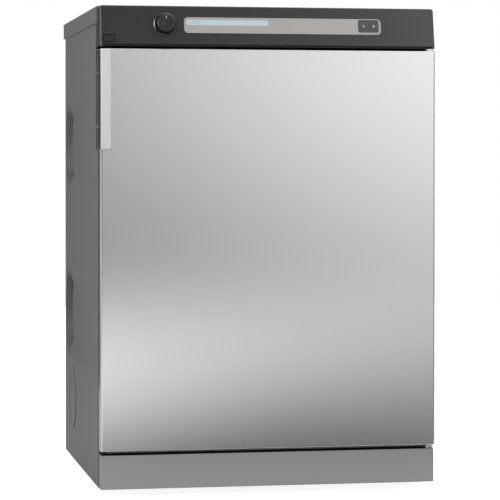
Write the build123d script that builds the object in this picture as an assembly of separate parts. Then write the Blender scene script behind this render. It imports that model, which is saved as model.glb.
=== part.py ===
from build123d import *
import math
import os

# Front-loading vented laundry dryer. All sizes are in millimetres. The machine is laid out with X to the
# right seen from the front, Y from the door's front face backwards and Z up from the floor, and save()
# moves every piece so that the finished machine stands centred on the origin.

# Cabinet
CABINET_WIDTH = 595.0
TOP_HEIGHT = 850.0
SIDE_FRONT = 31.0
CABINET_BACK = 583.0
LID_REAR_OVERHANG = 19.0
LID_OVERHANG = 2.5
LID_HEIGHT = 29.0
LID_CORNER = 9.0
FOOT_CLEARANCE = 13.0
SHEET = 1.0
FLANGE = 14.0
LID_SHEET = 1.2
LID_EDGE = 2.0

# Fascia
FASCIA_HEIGHT = 71.0
FASCIA_FRONT_LOW = 1.6
FASCIA_FRONT_TOP = 15.4
FASCIA_TOP_DEPTH = 41.0
FASCIA_SIDE_DEPTH = 62.0
FASCIA_WALL = 2.5
FASCIA_CORNER = 3.5
FASCIA_SHOULDER = 5.0

# Door
DOOR_LOW_GAP = 7.1
DOOR_TOP_GAP = 4.6
DOOR_SHEET = 0.8
DOOR_THICKNESS = 20.0
DOOR_CORNER = 4.0
DOOR_EDGE = 1.5
INNER_PANEL = 2.0
INNER_MARGIN = 1.2

# Loading opening and door plug
FRONT_LIP = 78.0
PLUG_GAP = 12.0
PLUG_DEPTH_LOW = 41.0
PLUG_DEPTH_HIGH = 22.0
PLUG_WALL = 2.5
LEDGE_ABOVE = 8.0
SEAL_WIDTH = 12.0
SEAL_OUTSIDE = 14.0
SEAL_GAP = 0.3
COLLAR_DEPTH = 50.0

# Lint filter cassette
FILTER_SIDE = 110.0
FILTER_FOOT = 46.0
FILTER_THICKNESS = 11.0
FILTER_GAP = 1.0
FILTER_RIM = 9.0
FILTER_SHELF = 8.0
FILTER_INSET = 4.0
MESH = 0.6
TAB_HEIGHT = 7.0
GRILLE_SIDE = 5
GRILLE_PITCH = 12.0
GRILLE_SLOT = 6.0

# Grip on the door and finger recess in the cabinet
GRIP_WIDTH = 18.0
GRIP_DROP = 1.4
GRIP_HEIGHT = 173.4
GRIP_PROUD = 8.0
GRIP_CORNER = 5.0
STRIP_THICKNESS = 3.0
STRIP_EDGE = 1.2
GROOVE_RADIUS = 6.0
RECESS_FRONT = 24.0
RECESS_BACK = 66.0
RECESS_BELOW = 1.6
RECESS_DEPTH = 13.5
RECESS_WALL = 1.5
RECESS_CORNER = 9.0
RECESS_SCREW_INSET = 2.8
RECESS_SCREW_RISES = (42.1, 136.6)
RECESS_SCREW_RADIUS = 2.4

# Hinges
HINGE_INSET = 10.0
HINGE_DEPTH = 11.0
HINGE_PIN_RADIUS = 4.0
HINGE_PLATE = 3.0
HINGE_ENGAGEMENT = 14.0
HINGE_CLEAR = 2.3
HINGE_CLEAR_TOP = 0.8
HINGE_REACH = 7.0
HINGE_NOSE = 7.0
HINGE_LEG = 34.0
BUSH_RADIUS = 7.0
RUNNING_GAP = 0.05

# Kick plate
PLINTH_TOP = 71.7
PLINTH_FRONT = 3.6
PLINTH_SHEET = 1.2
PLINTH_CORNER = 4.0

# Drum
DRUM_SIDE_GAP = 19.5
DRUM_TOP_GAP = 73.0
DRUM_BOTTOM = 192.0
DRUM_FRONT = 88.0
DRUM_REAR_GAP = 61.0
DRUM_SHEET = 1.0
DRUM_COLLAR_LENGTH = 25.0
FELT_WIDTH = 10.7
FELT_LENGTH = 15.0
FELT_GAP = 0.3
LIFTER_HEIGHT = 58.0
LIFTER_WIDTH = 70.0
LIFTER_COUNT = 3
LIFTER_END_GAP = 12.0
AIR_HOLE_RADIUS = 5.0
AIR_HOLE_INSET = 45.0
AIR_HOLE_PITCH = 30.0
AIR_HOLE_ROWS = 4
AIR_HOLES_PER_RING = 20
COLLAR_GAP = 0.3
HUB_RADIUS = 60.0
HUB_THICKNESS = 5.0
HOUSING_DEPTH = 46.0
SHAFT_RADIUS = 12.5
BEARING_RADIUS = 26.0
BEARING_WIDTH = 16.0

# Rear panel and heater pan
HEATER_INSET = 33.0
HEATER_PAN_GAP = 10.0
HEATER_WALL = 1.0
ELEMENT_STANDOFF = 22.0
ELEMENT_RADIUS = 4.0
ELEMENT_INSET = 45.0
ELEMENT_PITCH = 25.0
ELEMENTS = 3

# Drive
MOTOR_X = -130.0
MOTOR_Z = 112.0
MOTOR_RADIUS = 58.0
MOTOR_FRONT = 262.0
MOTOR_BACK = 398.0
MOTOR_SHAFT_RADIUS = 5.0
PULLEY_RADIUS = 9.0
IDLER_RADIUS = 14.0
IDLER_X = -190.0
IDLER_Z = 185.0
ARM_X = -230.0
ARM_Z = 72.0
ARM_PLACE = 408.0
ARM_THICKNESS = 3.0
ARM_HALF = 8.0
AXLE_RADIUS = 3.0
BELL = 9.0
RIM_HEIGHT = 4.0
PULLEY_END = 442.0
SPRING_PITCH = 2.2
SPRING_TURNS = 3
SPRING_WIRE = 0.8
BELT_PLACE = 425.0
BELT_WIDTH = 9.0
BELT_THICKNESS = 2.0
BELT_GAP = 0.3

# Blower and exhaust
FAN_RADIUS = 66.0
FAN_WIDTH = 56.0
FAN_BACK = 216.0
FAN_BLADES = 20
SCROLL_WALL = 2.0
SCROLL_GAP = 9.0
INTAKE_RADIUS = 42.0
FAN_HUB = 12.0
OUTLET_HEIGHT = 62.0
ELBOW_LEFT = -20.0
ELBOW_BACK = 236.0
SPIGOT_STEP = 1.5
EXHAUST_RADIUS = 50.0
EXHAUST_WALL = 1.5
EXHAUST_X = 70.0
EXHAUST_Z = 92.0
SPIGOT_LENGTH = 32.0
SPIGOT_PLAIN = 27.0

# Side exhaust hole and its cover
VENT_RADIUS = 52.0
VENT_COVER_RADIUS = 56.0
VENT_REAR_INSET = 136.0
VENT_Z = 125.0

# Base
BASE_LEVEL = 24.0
BASE_SHEET = 1.5
BASE_EDGE = 36.0
FOOT_RADIUS = 20.0
FOOT_STEM = 5.0
FOOT_INSET_X = 45.0
FOOT_INSET_FRONT = 125.0
FOOT_INSET_BACK = 50.0
FOOT_PAD = 9.0
NUT_HEIGHT = 6.0
RAIL_FRONT = 64.0
RAIL_DEPTH = 26.0
LAMP_HALF = 16.0
LAMP_PLACE = 68.0
LAMP_DEPTH = 12.0
LAMP_DROP = 12.0
STRIP_REACH = 60.0
STRIP_PLACE = 68.0
GLAND_BORE = 5.5
SCREW_LOW = 60.0
SCREW_TOP_DROP = 21.0
SCREW_COUNT = 5
SCREW_RADIUS = 4.5

# Controls on the fascia, measured along its leaning face from its lower edge
KNOB_INSET = 114.5
KNOB_UP = 39.0
KNOB_RADIUS = 16.0
KNOB_LENGTH = 13.0
KNOB_COLLAR_RADIUS = 21.0
KNOB_SHAFT_RADIUS = 3.0
STRIP_INSET_LEFT = 147.3
STRIP_INSET_RIGHT = 97.1
STRIP_UP = 38.2
STRIP_HEIGHT = 28.0
STRIP_END = 7.0
STRIP_DEPTH = 1.5
SCREEN_CELL = 4.0
SCREEN_CORNER = 3.0
KEY_CORNER = 3.0
KEY_FRAME = 1.4
KEY_LENGTH = 7.0
KEY_PROUD = 0.3
BOARD_DEPTH = 2.5
BOARD_GAP = 0.5
BOARD_THICKNESS = 1.6
BOARD_HEIGHT = 44.0
BOARD_POST = 18.0
BOARD_PART_HEIGHT = 20.0
POWER_LENGTH = 10.0
POWER_REST = 1.0
BOARD_PARTS = ((40.0, 30.0), (110.0, 18.0), (170.0, 26.0), (250.0, 40.0))
COLLAR_RISE = 3.0
SHAFT_LENGTH = 14.0
ENCODER_SIZE = 22.0
ENCODER_DEPTH = 9.0
SCREEN_INSET = 4.2
SCREEN_WIDTH = 144.6
SCREEN_RISE = 4.8
SCREEN_HEIGHT = 9.8
KEYS_INSET = 4.2
KEYS_WIDTH = 36.5
START_WIDTH = 19.6
KEYS_RISE = 1.2
KEYS_HEIGHT = 22.0
KEY_GAP = 0.4
KEY_TRAVEL = 1.5
POWER_INSET = 5.9
POWER_WIDTH = 19.1
POWER_UP = 13.6
POWER_HEIGHT = 11.4
POWER_GAP = 0.6
POWER_TRAVEL = 2.5

# Pressed fields of the side panels
LOW_FIELD_BOTTOM = 203.0
LOW_FIELD_HEIGHT = 171.0
HIGH_FIELD_DROP = 128.0
HIGH_FIELD_HEIGHT = 169.0
FIELD_FRONT = 97.0
FIELD_REAR_INSET = 7.0
FIELD_CHAMFER_LENGTH = 50.0
FIELD_CHAMFER_HEIGHT = 13.0
FIELD_DEPTH = 11.0
FIELD_ENTRY = 1.5
FIELD_SLOPE = 30.0
FIELD_STEP = 7.0
FIELD_BULGE = 46.0

# Side exhaust cover, rear louvres, filter duct, cable gland, door switch and door magnet
VENT_RIM = 1.6
VENT_NECK = 8.0
VENT_GAP = 0.4
LOUVRE_ROWS = 6
LOUVRE_PITCH = 14.0
LOUVRE_BOTTOM = 60.0
LOUVRE_SLOT = 4.0
LOUVRE_LENGTH = 120.0
LOUVRE_INSET = 82.5
DUCT_SLOT = 70.0
DUCT_SLOT_RISE = 16.0
DUCT_SLOT_DEPTH = 26.0
DUCT_WALL = 1.5
DUCT_DEPTH = 29.0
DUCT_LEFT = -196.0
DUCT_BOTTOM = 60.0
GLAND_INSET = 82.5
GLAND_DROP = 61.0
GLAND_RADIUS = 10.0
TERMINAL_GAP = 18.0
TERMINAL_LENGTH = 60.0
TERMINAL_DEPTH = 22.0
TERMINAL_HALF = 16.0
TERMINALS = 5
SWITCH_INSET = 72.5
SWITCH_DROP = 119.4
PLUNGER_RADIUS = 3.0
SWITCH_BODY = 16.0
MAGNET_INSET = 42.5
MAGNET_RADIUS = 11.0

# Places worked out from the sizes above
HALF = CABINET_WIDTH / 2
LID_BOTTOM = TOP_HEIGHT - LID_HEIGHT
LID_HALF = HALF + LID_OVERHANG
LID_BACK = CABINET_BACK + LID_REAR_OVERHANG
FRONT_PANEL = SIDE_FRONT + SHEET
REAR_PANEL = CABINET_BACK - 2 * SHEET
BASE_TOP = BASE_LEVEL + BASE_SHEET
PLINTH_WIDTH = CABINET_WIDTH - 2 * SHEET
FASCIA_BOTTOM = TOP_HEIGHT - FASCIA_HEIGHT
DOOR_TOP = FASCIA_BOTTOM - DOOR_TOP_GAP
DOOR_BOTTOM = PLINTH_TOP + DOOR_LOW_GAP
GRIP_TOP = DOOR_TOP - GRIP_DROP
GRIP_BOTTOM = GRIP_TOP - GRIP_HEIGHT
RECESS_BOTTOM = GRIP_BOTTOM - RECESS_BELOW
# The drum is as large as both the cabinet's width and its height allow
DRUM_RADIUS = min(HALF - DRUM_SIDE_GAP, (LID_BOTTOM - DRUM_TOP_GAP - DRUM_BOTTOM) / 2)
DRUM_HEIGHT = DRUM_BOTTOM + DRUM_RADIUS
DRUM_BACK = REAR_PANEL - DRUM_REAR_GAP
HOUSING_FRONT = REAR_PANEL - HOUSING_DEPTH
OPENING_RADIUS = DRUM_RADIUS - FRONT_LIP
HEATER_RADIUS = DRUM_RADIUS - HEATER_INSET
AIR_HOLE_RINGS = [HEATER_RADIUS - AIR_HOLE_INSET - k * AIR_HOLE_PITCH for k in range(AIR_HOLE_ROWS)]
ELEMENT_RINGS = [HEATER_RADIUS - ELEMENT_INSET - k * ELEMENT_PITCH for k in range(ELEMENTS)]
SPIGOT_END = CABINET_BACK + SPIGOT_LENGTH
VENT_DEPTH = CABINET_BACK - VENT_REAR_INSET
FIELD_BACK = CABINET_BACK - FIELD_REAR_INSET
HIGH_FIELD_TOP = LID_BOTTOM - HIGH_FIELD_DROP
FIELD_EDGES = (
    (HIGH_FIELD_TOP - HIGH_FIELD_HEIGHT, HIGH_FIELD_TOP),
    (LOW_FIELD_BOTTOM, LOW_FIELD_BOTTOM + LOW_FIELD_HEIGHT),
)
LOUVRE_X = HALF - LOUVRE_INSET
GLAND_X = -HALF + GLAND_INSET
GLAND_Z = LID_BOTTOM - GLAND_DROP
SWITCH_X = -HALF + SWITCH_INSET
SWITCH_Z = DOOR_TOP - SWITCH_DROP
MAGNET_X = -HALF + MAGNET_INSET
MAGNET_Z = DRUM_HEIGHT
KNOB_X = -HALF + KNOB_INSET
STRIP_LEFT = -HALF + STRIP_INSET_LEFT
STRIP_RIGHT = HALF - STRIP_INSET_RIGHT
SCREEN_LEFT = STRIP_LEFT + SCREEN_INSET
SCREEN_RIGHT = SCREEN_LEFT + SCREEN_WIDTH
SCREEN_UP = STRIP_UP + SCREEN_RISE
KEYS_RIGHT = STRIP_RIGHT - KEYS_INSET
KEYS_LEFT = KEYS_RIGHT - KEYS_WIDTH
KEYS_SPLIT = KEYS_LEFT + START_WIDTH
KEYS_UP = STRIP_UP + KEYS_RISE
POWER_LEFT = -HALF + POWER_INSET
POWER_RIGHT = POWER_LEFT + POWER_WIDTH
POWER_ROOM = POWER_TRAVEL + POWER_REST
BOARD_PLACE = KEY_LENGTH + KEY_TRAVEL + BOARD_GAP
COLLAR_INNER = OPENING_RADIUS + SHEET + FELT_WIDTH + COLLAR_GAP
RECESS_END = -HALF + RECESS_DEPTH
PLUG_RADIUS = OPENING_RADIUS - PLUG_GAP
INNER_BACK = DOOR_THICKNESS + INNER_PANEL
LEDGE = DRUM_HEIGHT + LEDGE_ABOVE
FILTER_WIDTH = 2 * (PLUG_RADIUS - FILTER_SIDE)
FILTER_HEIGHT = PLUG_RADIUS + LEDGE_ABOVE - FILTER_FOOT
FILTER_FRONT = INNER_BACK + PLUG_DEPTH_HIGH + FILTER_INSET
MAGNET_FACE = INNER_BACK + 2.0
HINGE_X = HALF - HINGE_INSET
FRAME_SHIFT = -(SPIGOT_END - GRIP_PROUD) / 2
LEAN = math.degrees(math.atan2(FASCIA_FRONT_TOP - FASCIA_FRONT_LOW, TOP_HEIGHT - FASCIA_BOTTOM))
FACE = Plane(
    origin=(0, FASCIA_FRONT_LOW, FASCIA_BOTTOM),
    x_dir=(1, 0, 0),
    z_dir=(0, -math.cos(math.radians(LEAN)), math.sin(math.radians(LEAN))),
)

LOW = (Align.CENTER, Align.CENTER, Align.MIN)
os.makedirs("parts", exist_ok=True)


def save(name, *shapes):
    """Write one sub-part, made of one or more solids, in the machine's centred frame."""
    solids = [solid for shape in shapes for solid in shape.solids()]
    placed = [Pos(0, FRAME_SHIFT, 0) * solid for solid in solids]
    piece = placed[0] if len(placed) == 1 else Compound(placed)
    export_step(piece, f"parts/{name}.step")


def block(x0, x1, y0, y1, z0, z1):
    """Box between two corners."""
    size = (x1 - x0, y1 - y0, z1 - z0)
    return Pos((x0 + x1) / 2, (y0 + y1) / 2, (z0 + z1) / 2) * Box(*size)


def rod(x, z, radius, y0, y1):
    """Round bar along Y."""
    return Pos(x, (y0 + y1) / 2, z) * Rot(90, 0, 0) * Cylinder(radius, y1 - y0)


def post(x, y, radius, z0, z1):
    """Round bar along Z."""
    return Pos(x, y, (z0 + z1) / 2) * Cylinder(radius, z1 - z0)


def ring(x, z, outer, inner, y0, y1):
    """Round tube along Y."""
    return rod(x, z, outer, y0, y1) - rod(x, z, inner, y0 - 1, y1 + 1)


def on_face(x, up, out=0.0):
    """Place on the fascia's leaning face, with local Z pointing out of it."""
    return FACE * Pos(x, up, out)


def rounded(width, height, corner, depth):
    """Upright slab with rounded corners, from local Z 0 to depth."""
    return extrude(RectangleRounded(width, height, corner), amount=depth)


def field_face(points):
    """Face of a pressed field from seven points: the middle three are its bowed rear edge."""
    rear_edge = ThreePointArc(points[2], points[3], points[4])
    sides = [Line(points[i], points[(i + 1) % 7]) for i in (0, 1, 4, 5, 6)]
    return Face(Wire(sides[:2] + [rear_edge] + sides[2:]))


def field_pocket(low, high, deeper):
    """Wedge pressed into a side panel, seen from the panel's outer face at X 0.

    It starts level at the front and deepens towards the back, where it ends in a steep wall that bulges
    backwards.
    """
    middle = (low + high) / 2
    half = high - middle
    bow_radius = (half**2 + FIELD_BULGE**2) / (2 * FIELD_BULGE)

    def outline(shrink, step):
        """Corners at the upper half, from the rear edge's middle to the front, then mirrored below."""
        up = half - shrink
        rear_end = FIELD_BACK - step - bow_radius + (bow_radius**2 - up**2) ** 0.5
        upper = [
            (rear_end, up),
            (FIELD_FRONT + FIELD_CHAMFER_LENGTH + step, up),
            (FIELD_FRONT + step, up - FIELD_CHAMFER_HEIGHT),
        ]
        lower = [(y, -z) for y, z in reversed(upper)]
        return lower + [(FIELD_BACK - step, 0)] + upper

    def floor_point(y, z):
        depth = FIELD_DEPTH * (y - FIELD_FRONT) / (FIELD_BACK - FIELD_FRONT)
        return (depth + FIELD_ENTRY + deeper, y, middle + z)

    mouth = [(deeper, y, middle + z) for y, z in outline(0, 0)]
    floor = [floor_point(y, z) for y, z in outline(FIELD_SLOPE, FIELD_STEP)]
    return loft([field_face(mouth), field_face(floor)], ruled=True)


def recess_outline(x0, x1):
    """Block of the finger recess, with its lower rear corner rounded."""
    body = block(x0, x1, 0, RECESS_BACK, RECESS_BOTTOM, DOOR_TOP)
    edges = body.edges().filter_by(Axis.X).group_by(Axis.Y)[-1].group_by(Axis.Z)[0]
    return fillet(edges, RECESS_CORNER)


def side_panel(notched):
    """Left side panel: folded sheet with two pressed fields and a round exhaust hole."""
    x0 = -HALF
    flange_end = x0 + FLANGE
    panel = block(x0, x0 + SHEET, SIDE_FRONT, CABINET_BACK, FOOT_CLEARANCE, LID_BOTTOM)
    for low, high in FIELD_EDGES:
        panel += Pos(x0, 0, 0) * field_pocket(low, high, SHEET)
    for low, high in FIELD_EDGES:
        panel -= Pos(x0, 0, 0) * field_pocket(low, high, 0)
    panel += block(x0, flange_end, SIDE_FRONT, FRONT_PANEL, FOOT_CLEARANCE, DOOR_TOP)
    panel += block(x0, flange_end, CABINET_BACK - SHEET, CABINET_BACK, FOOT_CLEARANCE, LID_BOTTOM)
    panel += block(x0, flange_end, SIDE_FRONT, CABINET_BACK, FOOT_CLEARANCE, FOOT_CLEARANCE + SHEET)
    panel -= Pos(x0, VENT_DEPTH, VENT_Z) * Rot(0, 90, 0) * Cylinder(VENT_RADIUS, 4 * SHEET)
    panel -= block(x0 - 1, flange_end + 1, 0, FASCIA_SIDE_DEPTH, DOOR_TOP, TOP_HEIGHT)
    if notched:
        panel -= recess_outline(x0 - 1, flange_end + 1)
    return panel


def vent_cover():
    """Round snap-in cover of the left side exhaust hole: a shallow dish with a rim."""
    neck = VENT_RADIUS - VENT_GAP
    dish = Cylinder(VENT_COVER_RADIUS, VENT_RIM, align=LOW)
    dish += Pos(0, 0, VENT_RIM) * Cylinder(neck, VENT_NECK, align=LOW)
    dish -= Pos(0, 0, VENT_RIM) * Cylinder(neck - VENT_RIM, VENT_NECK + 1, align=LOW)
    dish -= Cylinder(neck - 2 * VENT_RIM, VENT_RIM / 2, align=LOW)
    return Pos(-HALF - VENT_RIM, VENT_DEPTH, VENT_Z) * Rot(0, 90, 0) * dish


def mirrored(shape):
    """Right-hand copy of a left-hand piece."""
    return mirror(shape, about=Plane.YZ)


def top_lid():
    """Folded steel lid, open underneath, with rounded rear corners and two inward rests."""
    outer = block(-LID_HALF, LID_HALF, FASCIA_TOP_DEPTH, LID_BACK, LID_BOTTOM, TOP_HEIGHT)
    outer = fillet(outer.edges().filter_by(Axis.Z).group_by(Axis.Y)[-1], LID_CORNER)
    rim = outer.faces().sort_by(Axis.Z)[-1].edges().sort_by(Axis.Y)
    outer = fillet(rim[1:], LID_EDGE)
    wall = LID_SHEET
    inner_half = LID_HALF - wall
    front = FASCIA_TOP_DEPTH + wall
    inner = block(-inner_half, inner_half, front, LID_BACK - wall, LID_BOTTOM - 1, TOP_HEIGHT - wall)
    inner = fillet(inner.edges().filter_by(Axis.Z).group_by(Axis.Y)[-1], LID_CORNER - wall)
    lid = outer - inner
    rest = HALF - FLANGE
    for x0, x1 in ((-inner_half, -rest), (rest, inner_half)):
        lid += block(x0, x1, FASCIA_SIDE_DEPTH, CABINET_BACK, LID_BOTTOM, LID_BOTTOM + wall)
    return lid


def rear_panel():
    """Rear panel with holes for the exhaust and the cable gland, and two rows of louvres."""
    edge = HALF - SHEET
    panel = block(-edge, edge, REAR_PANEL, CABINET_BACK - SHEET, BASE_TOP, LID_BOTTOM)
    through = (REAR_PANEL - 1, CABINET_BACK)
    panel -= rod(EXHAUST_X, EXHAUST_Z, EXHAUST_RADIUS + SPIGOT_STEP, *through)
    panel -= rod(GLAND_X, GLAND_Z, GLAND_RADIUS, *through)
    for row in range(LOUVRE_ROWS):
        height = LOUVRE_BOTTOM + row * LOUVRE_PITCH
        for middle in (-LOUVRE_X, LOUVRE_X):
            low, high = middle - LOUVRE_LENGTH / 2, middle + LOUVRE_LENGTH / 2
            panel -= block(low, high, *through, height, height + LOUVRE_SLOT)
    return panel


def front_panel():
    """Front panel behind the door: plate, round loading opening and its collar."""
    edge = HALF - SHEET
    back = FRONT_PANEL + SHEET
    outer = OPENING_RADIUS + SHEET
    panel = block(-edge, edge, FRONT_PANEL, back, BASE_TOP, DOOR_TOP)
    panel -= rod(0, DRUM_HEIGHT, OPENING_RADIUS, FRONT_PANEL - 1, back + 1)
    panel += ring(0, DRUM_HEIGHT, outer, OPENING_RADIUS, FRONT_PANEL, back + COLLAR_DEPTH)
    slot_bottom = DRUM_HEIGHT - outer - 1
    slot_top = DRUM_HEIGHT - OPENING_RADIUS + DUCT_SLOT_RISE
    slot_front = back + DUCT_WALL
    panel -= block(-DUCT_SLOT, DUCT_SLOT, slot_front, slot_front + DUCT_SLOT_DEPTH, slot_bottom, slot_top)
    panel -= recess_outline(-HALF - 1, RECESS_END)
    panel -= rod(SWITCH_X, SWITCH_Z, PLUNGER_RADIUS + 1, FRONT_PANEL - 1, back + 1)
    panel -= rod(MAGNET_X, MAGNET_Z, MAGNET_RADIUS, FRONT_PANEL - 1, back + 1)
    return panel


def door_outer_panel():
    """Stainless skin of the door: a pan with rounded edges, notched for the grip, bored for the bushes."""
    outer = block(-HALF, HALF, 0, DOOR_THICKNESS, DOOR_BOTTOM, DOOR_TOP)
    front_edges = outer.edges().group_by(Axis.Y)[0]
    outer = fillet(front_edges.filter_by(Axis.Z), DOOR_CORNER)
    rim = outer.faces().sort_by(Axis.Y)[0].edges().filter_by(Axis.X)
    outer = fillet(rim, DOOR_EDGE)
    wall = DOOR_SHEET
    edge = HALF - wall
    inner = block(-edge, edge, wall, DOOR_THICKNESS + 1, DOOR_BOTTOM + wall, DOOR_TOP - wall)
    inner = fillet(inner.edges().group_by(Axis.Y)[0].filter_by(Axis.Z), DOOR_CORNER - wall)
    skin = outer - inner
    skin -= grip_notch()
    skin -= post(HINGE_X, HINGE_DEPTH, BUSH_RADIUS, DOOR_BOTTOM - 1, DOOR_TOP + 1)
    return skin


def grip_notch():
    """Space in the door's upper left edge that the grip body fills."""
    inset = STRIP_THICKNESS / 2
    x1 = -HALF + GRIP_WIDTH - inset
    return block(-HALF - 1, x1, -1, DOOR_THICKNESS, GRIP_BOTTOM + inset, GRIP_TOP - inset)


def door_grip():
    """Dark grip body in the door's edge, with a groove for the fingers down its outer side."""
    inset = STRIP_THICKNESS / 2
    x1 = -HALF + GRIP_WIDTH - inset
    z0, z1 = GRIP_BOTTOM + inset, GRIP_TOP - inset
    front = STRIP_THICKNESS - GRIP_PROUD
    body = block(-HALF + 0.5, x1, front, DOOR_THICKNESS, z0, z1)
    groove_z = (z0 + z1) / 2
    groove = Pos(-HALF, DOOR_THICKNESS * 0.55, groove_z) * Cylinder(GROOVE_RADIUS, z1 - z0 - 4 * GRIP_CORNER)
    return body - groove


def grip_strip():
    """Pale metal strip over the front of the grip."""
    x1 = -HALF + GRIP_WIDTH
    strip = block(-HALF, x1, -GRIP_PROUD, STRIP_THICKNESS - GRIP_PROUD, GRIP_BOTTOM, GRIP_TOP)
    lower = strip.edges().filter_by(Axis.Y).group_by(Axis.Z)[0].sort_by(Axis.X)
    strip = fillet(lower[-1:], GRIP_CORNER)
    strip = fillet(strip.faces().sort_by(Axis.Y)[0].edges(), STRIP_EDGE)
    return strip


def door_inner_panel():
    """Inner moulding of the door: plate, hollow plug, and the well of the lint filter."""
    edge = HALF - INNER_MARGIN
    bottom, top = DOOR_BOTTOM + INNER_MARGIN, DOOR_TOP - INNER_MARGIN
    plate = block(-edge, edge, DOOR_THICKNESS, INNER_BACK, bottom, top)
    high = INNER_BACK + PLUG_DEPTH_HIGH
    low = INNER_BACK + PLUG_DEPTH_LOW
    wall = PLUG_WALL
    reach = OPENING_RADIUS
    below = block(-reach, reach, DOOR_THICKNESS - 1, low, DRUM_HEIGHT - reach, LEDGE)
    below_inner = block(-reach, reach, DOOR_THICKNESS - 1, low, DRUM_HEIGHT - reach, LEDGE - wall)
    plug = rod(0, DRUM_HEIGHT, PLUG_RADIUS, DOOR_THICKNESS, high)
    plug += rod(0, DRUM_HEIGHT, PLUG_RADIUS, DOOR_THICKNESS, low) & below
    hollow = rod(0, DRUM_HEIGHT, PLUG_RADIUS - wall, DOOR_THICKNESS - 1, high - wall)
    hollow += rod(0, DRUM_HEIGHT, PLUG_RADIUS - wall, DOOR_THICKNESS - 1, low - wall) & below_inner
    half = FILTER_WIDTH / 2 + FILTER_GAP
    seat = LEDGE - FILTER_HEIGHT
    front, back = FILTER_FRONT - FILTER_GAP, FILTER_FRONT + FILTER_THICKNESS + FILTER_GAP
    outer_half = half + wall
    well = block(-outer_half, outer_half, front - wall, low, DRUM_HEIGHT - PLUG_RADIUS - 1, LEDGE)
    panel = plate + plug - hollow + (well & plug)
    panel -= block(-half, half, front, back, seat, LEDGE + 1)
    mouth = half - FILTER_SHELF
    panel -= block(-mouth, mouth, front, back, DRUM_HEIGHT - PLUG_RADIUS - 1, seat + 1)
    window_low, window_high = seat + 2 * FILTER_RIM, LEDGE - 2 * FILTER_RIM
    for k in range(-GRILLE_SIDE, GRILLE_SIDE + 1):
        middle = k * GRILLE_PITCH
        x0, x1 = middle - GRILLE_SLOT / 2, middle + GRILLE_SLOT / 2
        panel -= block(x0, x1, back - 1, low + 1, window_low, window_high)
    return panel


def lint_filter_frame():
    """Cassette frame of the lint filter: windows front and back, open underneath, with a finger tab."""
    half = FILTER_WIDTH / 2
    seat = LEDGE - FILTER_HEIGHT
    back = FILTER_FRONT + FILTER_THICKNESS
    frame = block(-half, half, FILTER_FRONT, back, seat, LEDGE)
    rim = FILTER_RIM
    for x0, x1 in ((-half + rim, -rim / 2), (rim / 2, half - rim)):
        frame -= block(x0, x1, FILTER_FRONT - 1, back + 1, seat + rim, LEDGE - rim)
    throat = half - FILTER_SHELF - rim
    frame -= block(-throat, throat, FILTER_FRONT + MESH * 2, back - MESH * 2, seat - 1, LEDGE - rim)
    tab = half * 0.6
    frame += block(-tab, tab, FILTER_FRONT, FILTER_FRONT + rim / 2, LEDGE, LEDGE + TAB_HEIGHT)
    return frame


def lint_filter_mesh():
    """The four fine mesh panes in the cassette's windows."""
    half = FILTER_WIDTH / 2
    rim = FILTER_RIM
    low, high = LEDGE - FILTER_HEIGHT + rim, LEDGE - rim
    panes = []
    for x0, x1 in ((-half + rim, -rim / 2), (rim / 2, half - rim)):
        for y0 in (FILTER_FRONT, FILTER_FRONT + FILTER_THICKNESS - MESH):
            panes.append(block(x0, x1, y0, y0 + MESH, low, high))
    return panes


def door_seal():
    """Rubber ring on the door's inner panel, round the plug."""
    outer = OPENING_RADIUS + SEAL_OUTSIDE
    seal = ring(0, DRUM_HEIGHT, outer, outer - SEAL_WIDTH, INNER_BACK, FRONT_PANEL - SEAL_GAP)
    groove = outer - SEAL_WIDTH / 2
    return seal - ring(0, DRUM_HEIGHT, groove + 1.5, groove - 1.5, FRONT_PANEL - 3, FRONT_PANEL)


def hinge(edge_height, direction):
    """Hinge plate with its leg and pin. direction is 1 for the lower one, whose pin points up."""
    gap = HINGE_CLEAR if direction > 0 else HINGE_CLEAR_TOP
    face = edge_height - direction * gap
    back = SIDE_FRONT
    z0, z1 = sorted((face, face - direction * HINGE_PLATE))
    x0, x1 = HINGE_X - HINGE_REACH, HALF - SHEET
    plate = block(x0, x1, HINGE_DEPTH - HINGE_NOSE, back, z0, z1)
    plate = fillet(plate.edges().filter_by(Axis.Z).group_by(Axis.Y)[0], HINGE_NOSE - 1)
    z2, z3 = sorted((face - direction * HINGE_PLATE, face + direction * HINGE_LEG))
    leg = block(x0, x1, back - HINGE_PLATE, back, z2, z3)
    z4, z5 = sorted((face, face + direction * (gap + HINGE_ENGAGEMENT)))
    pin = post(HINGE_X, HINGE_DEPTH, HINGE_PIN_RADIUS, z4, z5)
    return plate + leg + pin


def hinge_bushes():
    """Plastic bushes in the door's top and bottom edges."""
    depth = HINGE_ENGAGEMENT + 2
    bushes = []
    for z0 in (DOOR_BOTTOM, DOOR_TOP - depth):
        bush = post(HINGE_X, HINGE_DEPTH, BUSH_RADIUS, z0, z0 + depth)
        bore = HINGE_PIN_RADIUS + RUNNING_GAP
        bush -= post(HINGE_X, HINGE_DEPTH, bore, z0 - 1, z0 + depth + 1)
        bushes.append(bush)
    return bushes


def grip_recess():
    """Dark plastic pocket in the cabinet's edge, behind the door's grip."""
    shell = recess_outline(-HALF, RECESS_END) & block(
        -HALF, RECESS_END, RECESS_FRONT, RECESS_BACK, RECESS_BOTTOM, DOOR_TOP
    )
    wall = RECESS_WALL
    inner = block(
        -HALF - 1,
        RECESS_END - wall,
        RECESS_FRONT - 1,
        RECESS_BACK - wall,
        RECESS_BOTTOM + wall,
        DOOR_TOP - wall,
    )
    edges = inner.edges().filter_by(Axis.X).group_by(Axis.Y)[-1].group_by(Axis.Z)[0]
    return shell - fillet(edges, RECESS_CORNER - wall)


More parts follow.
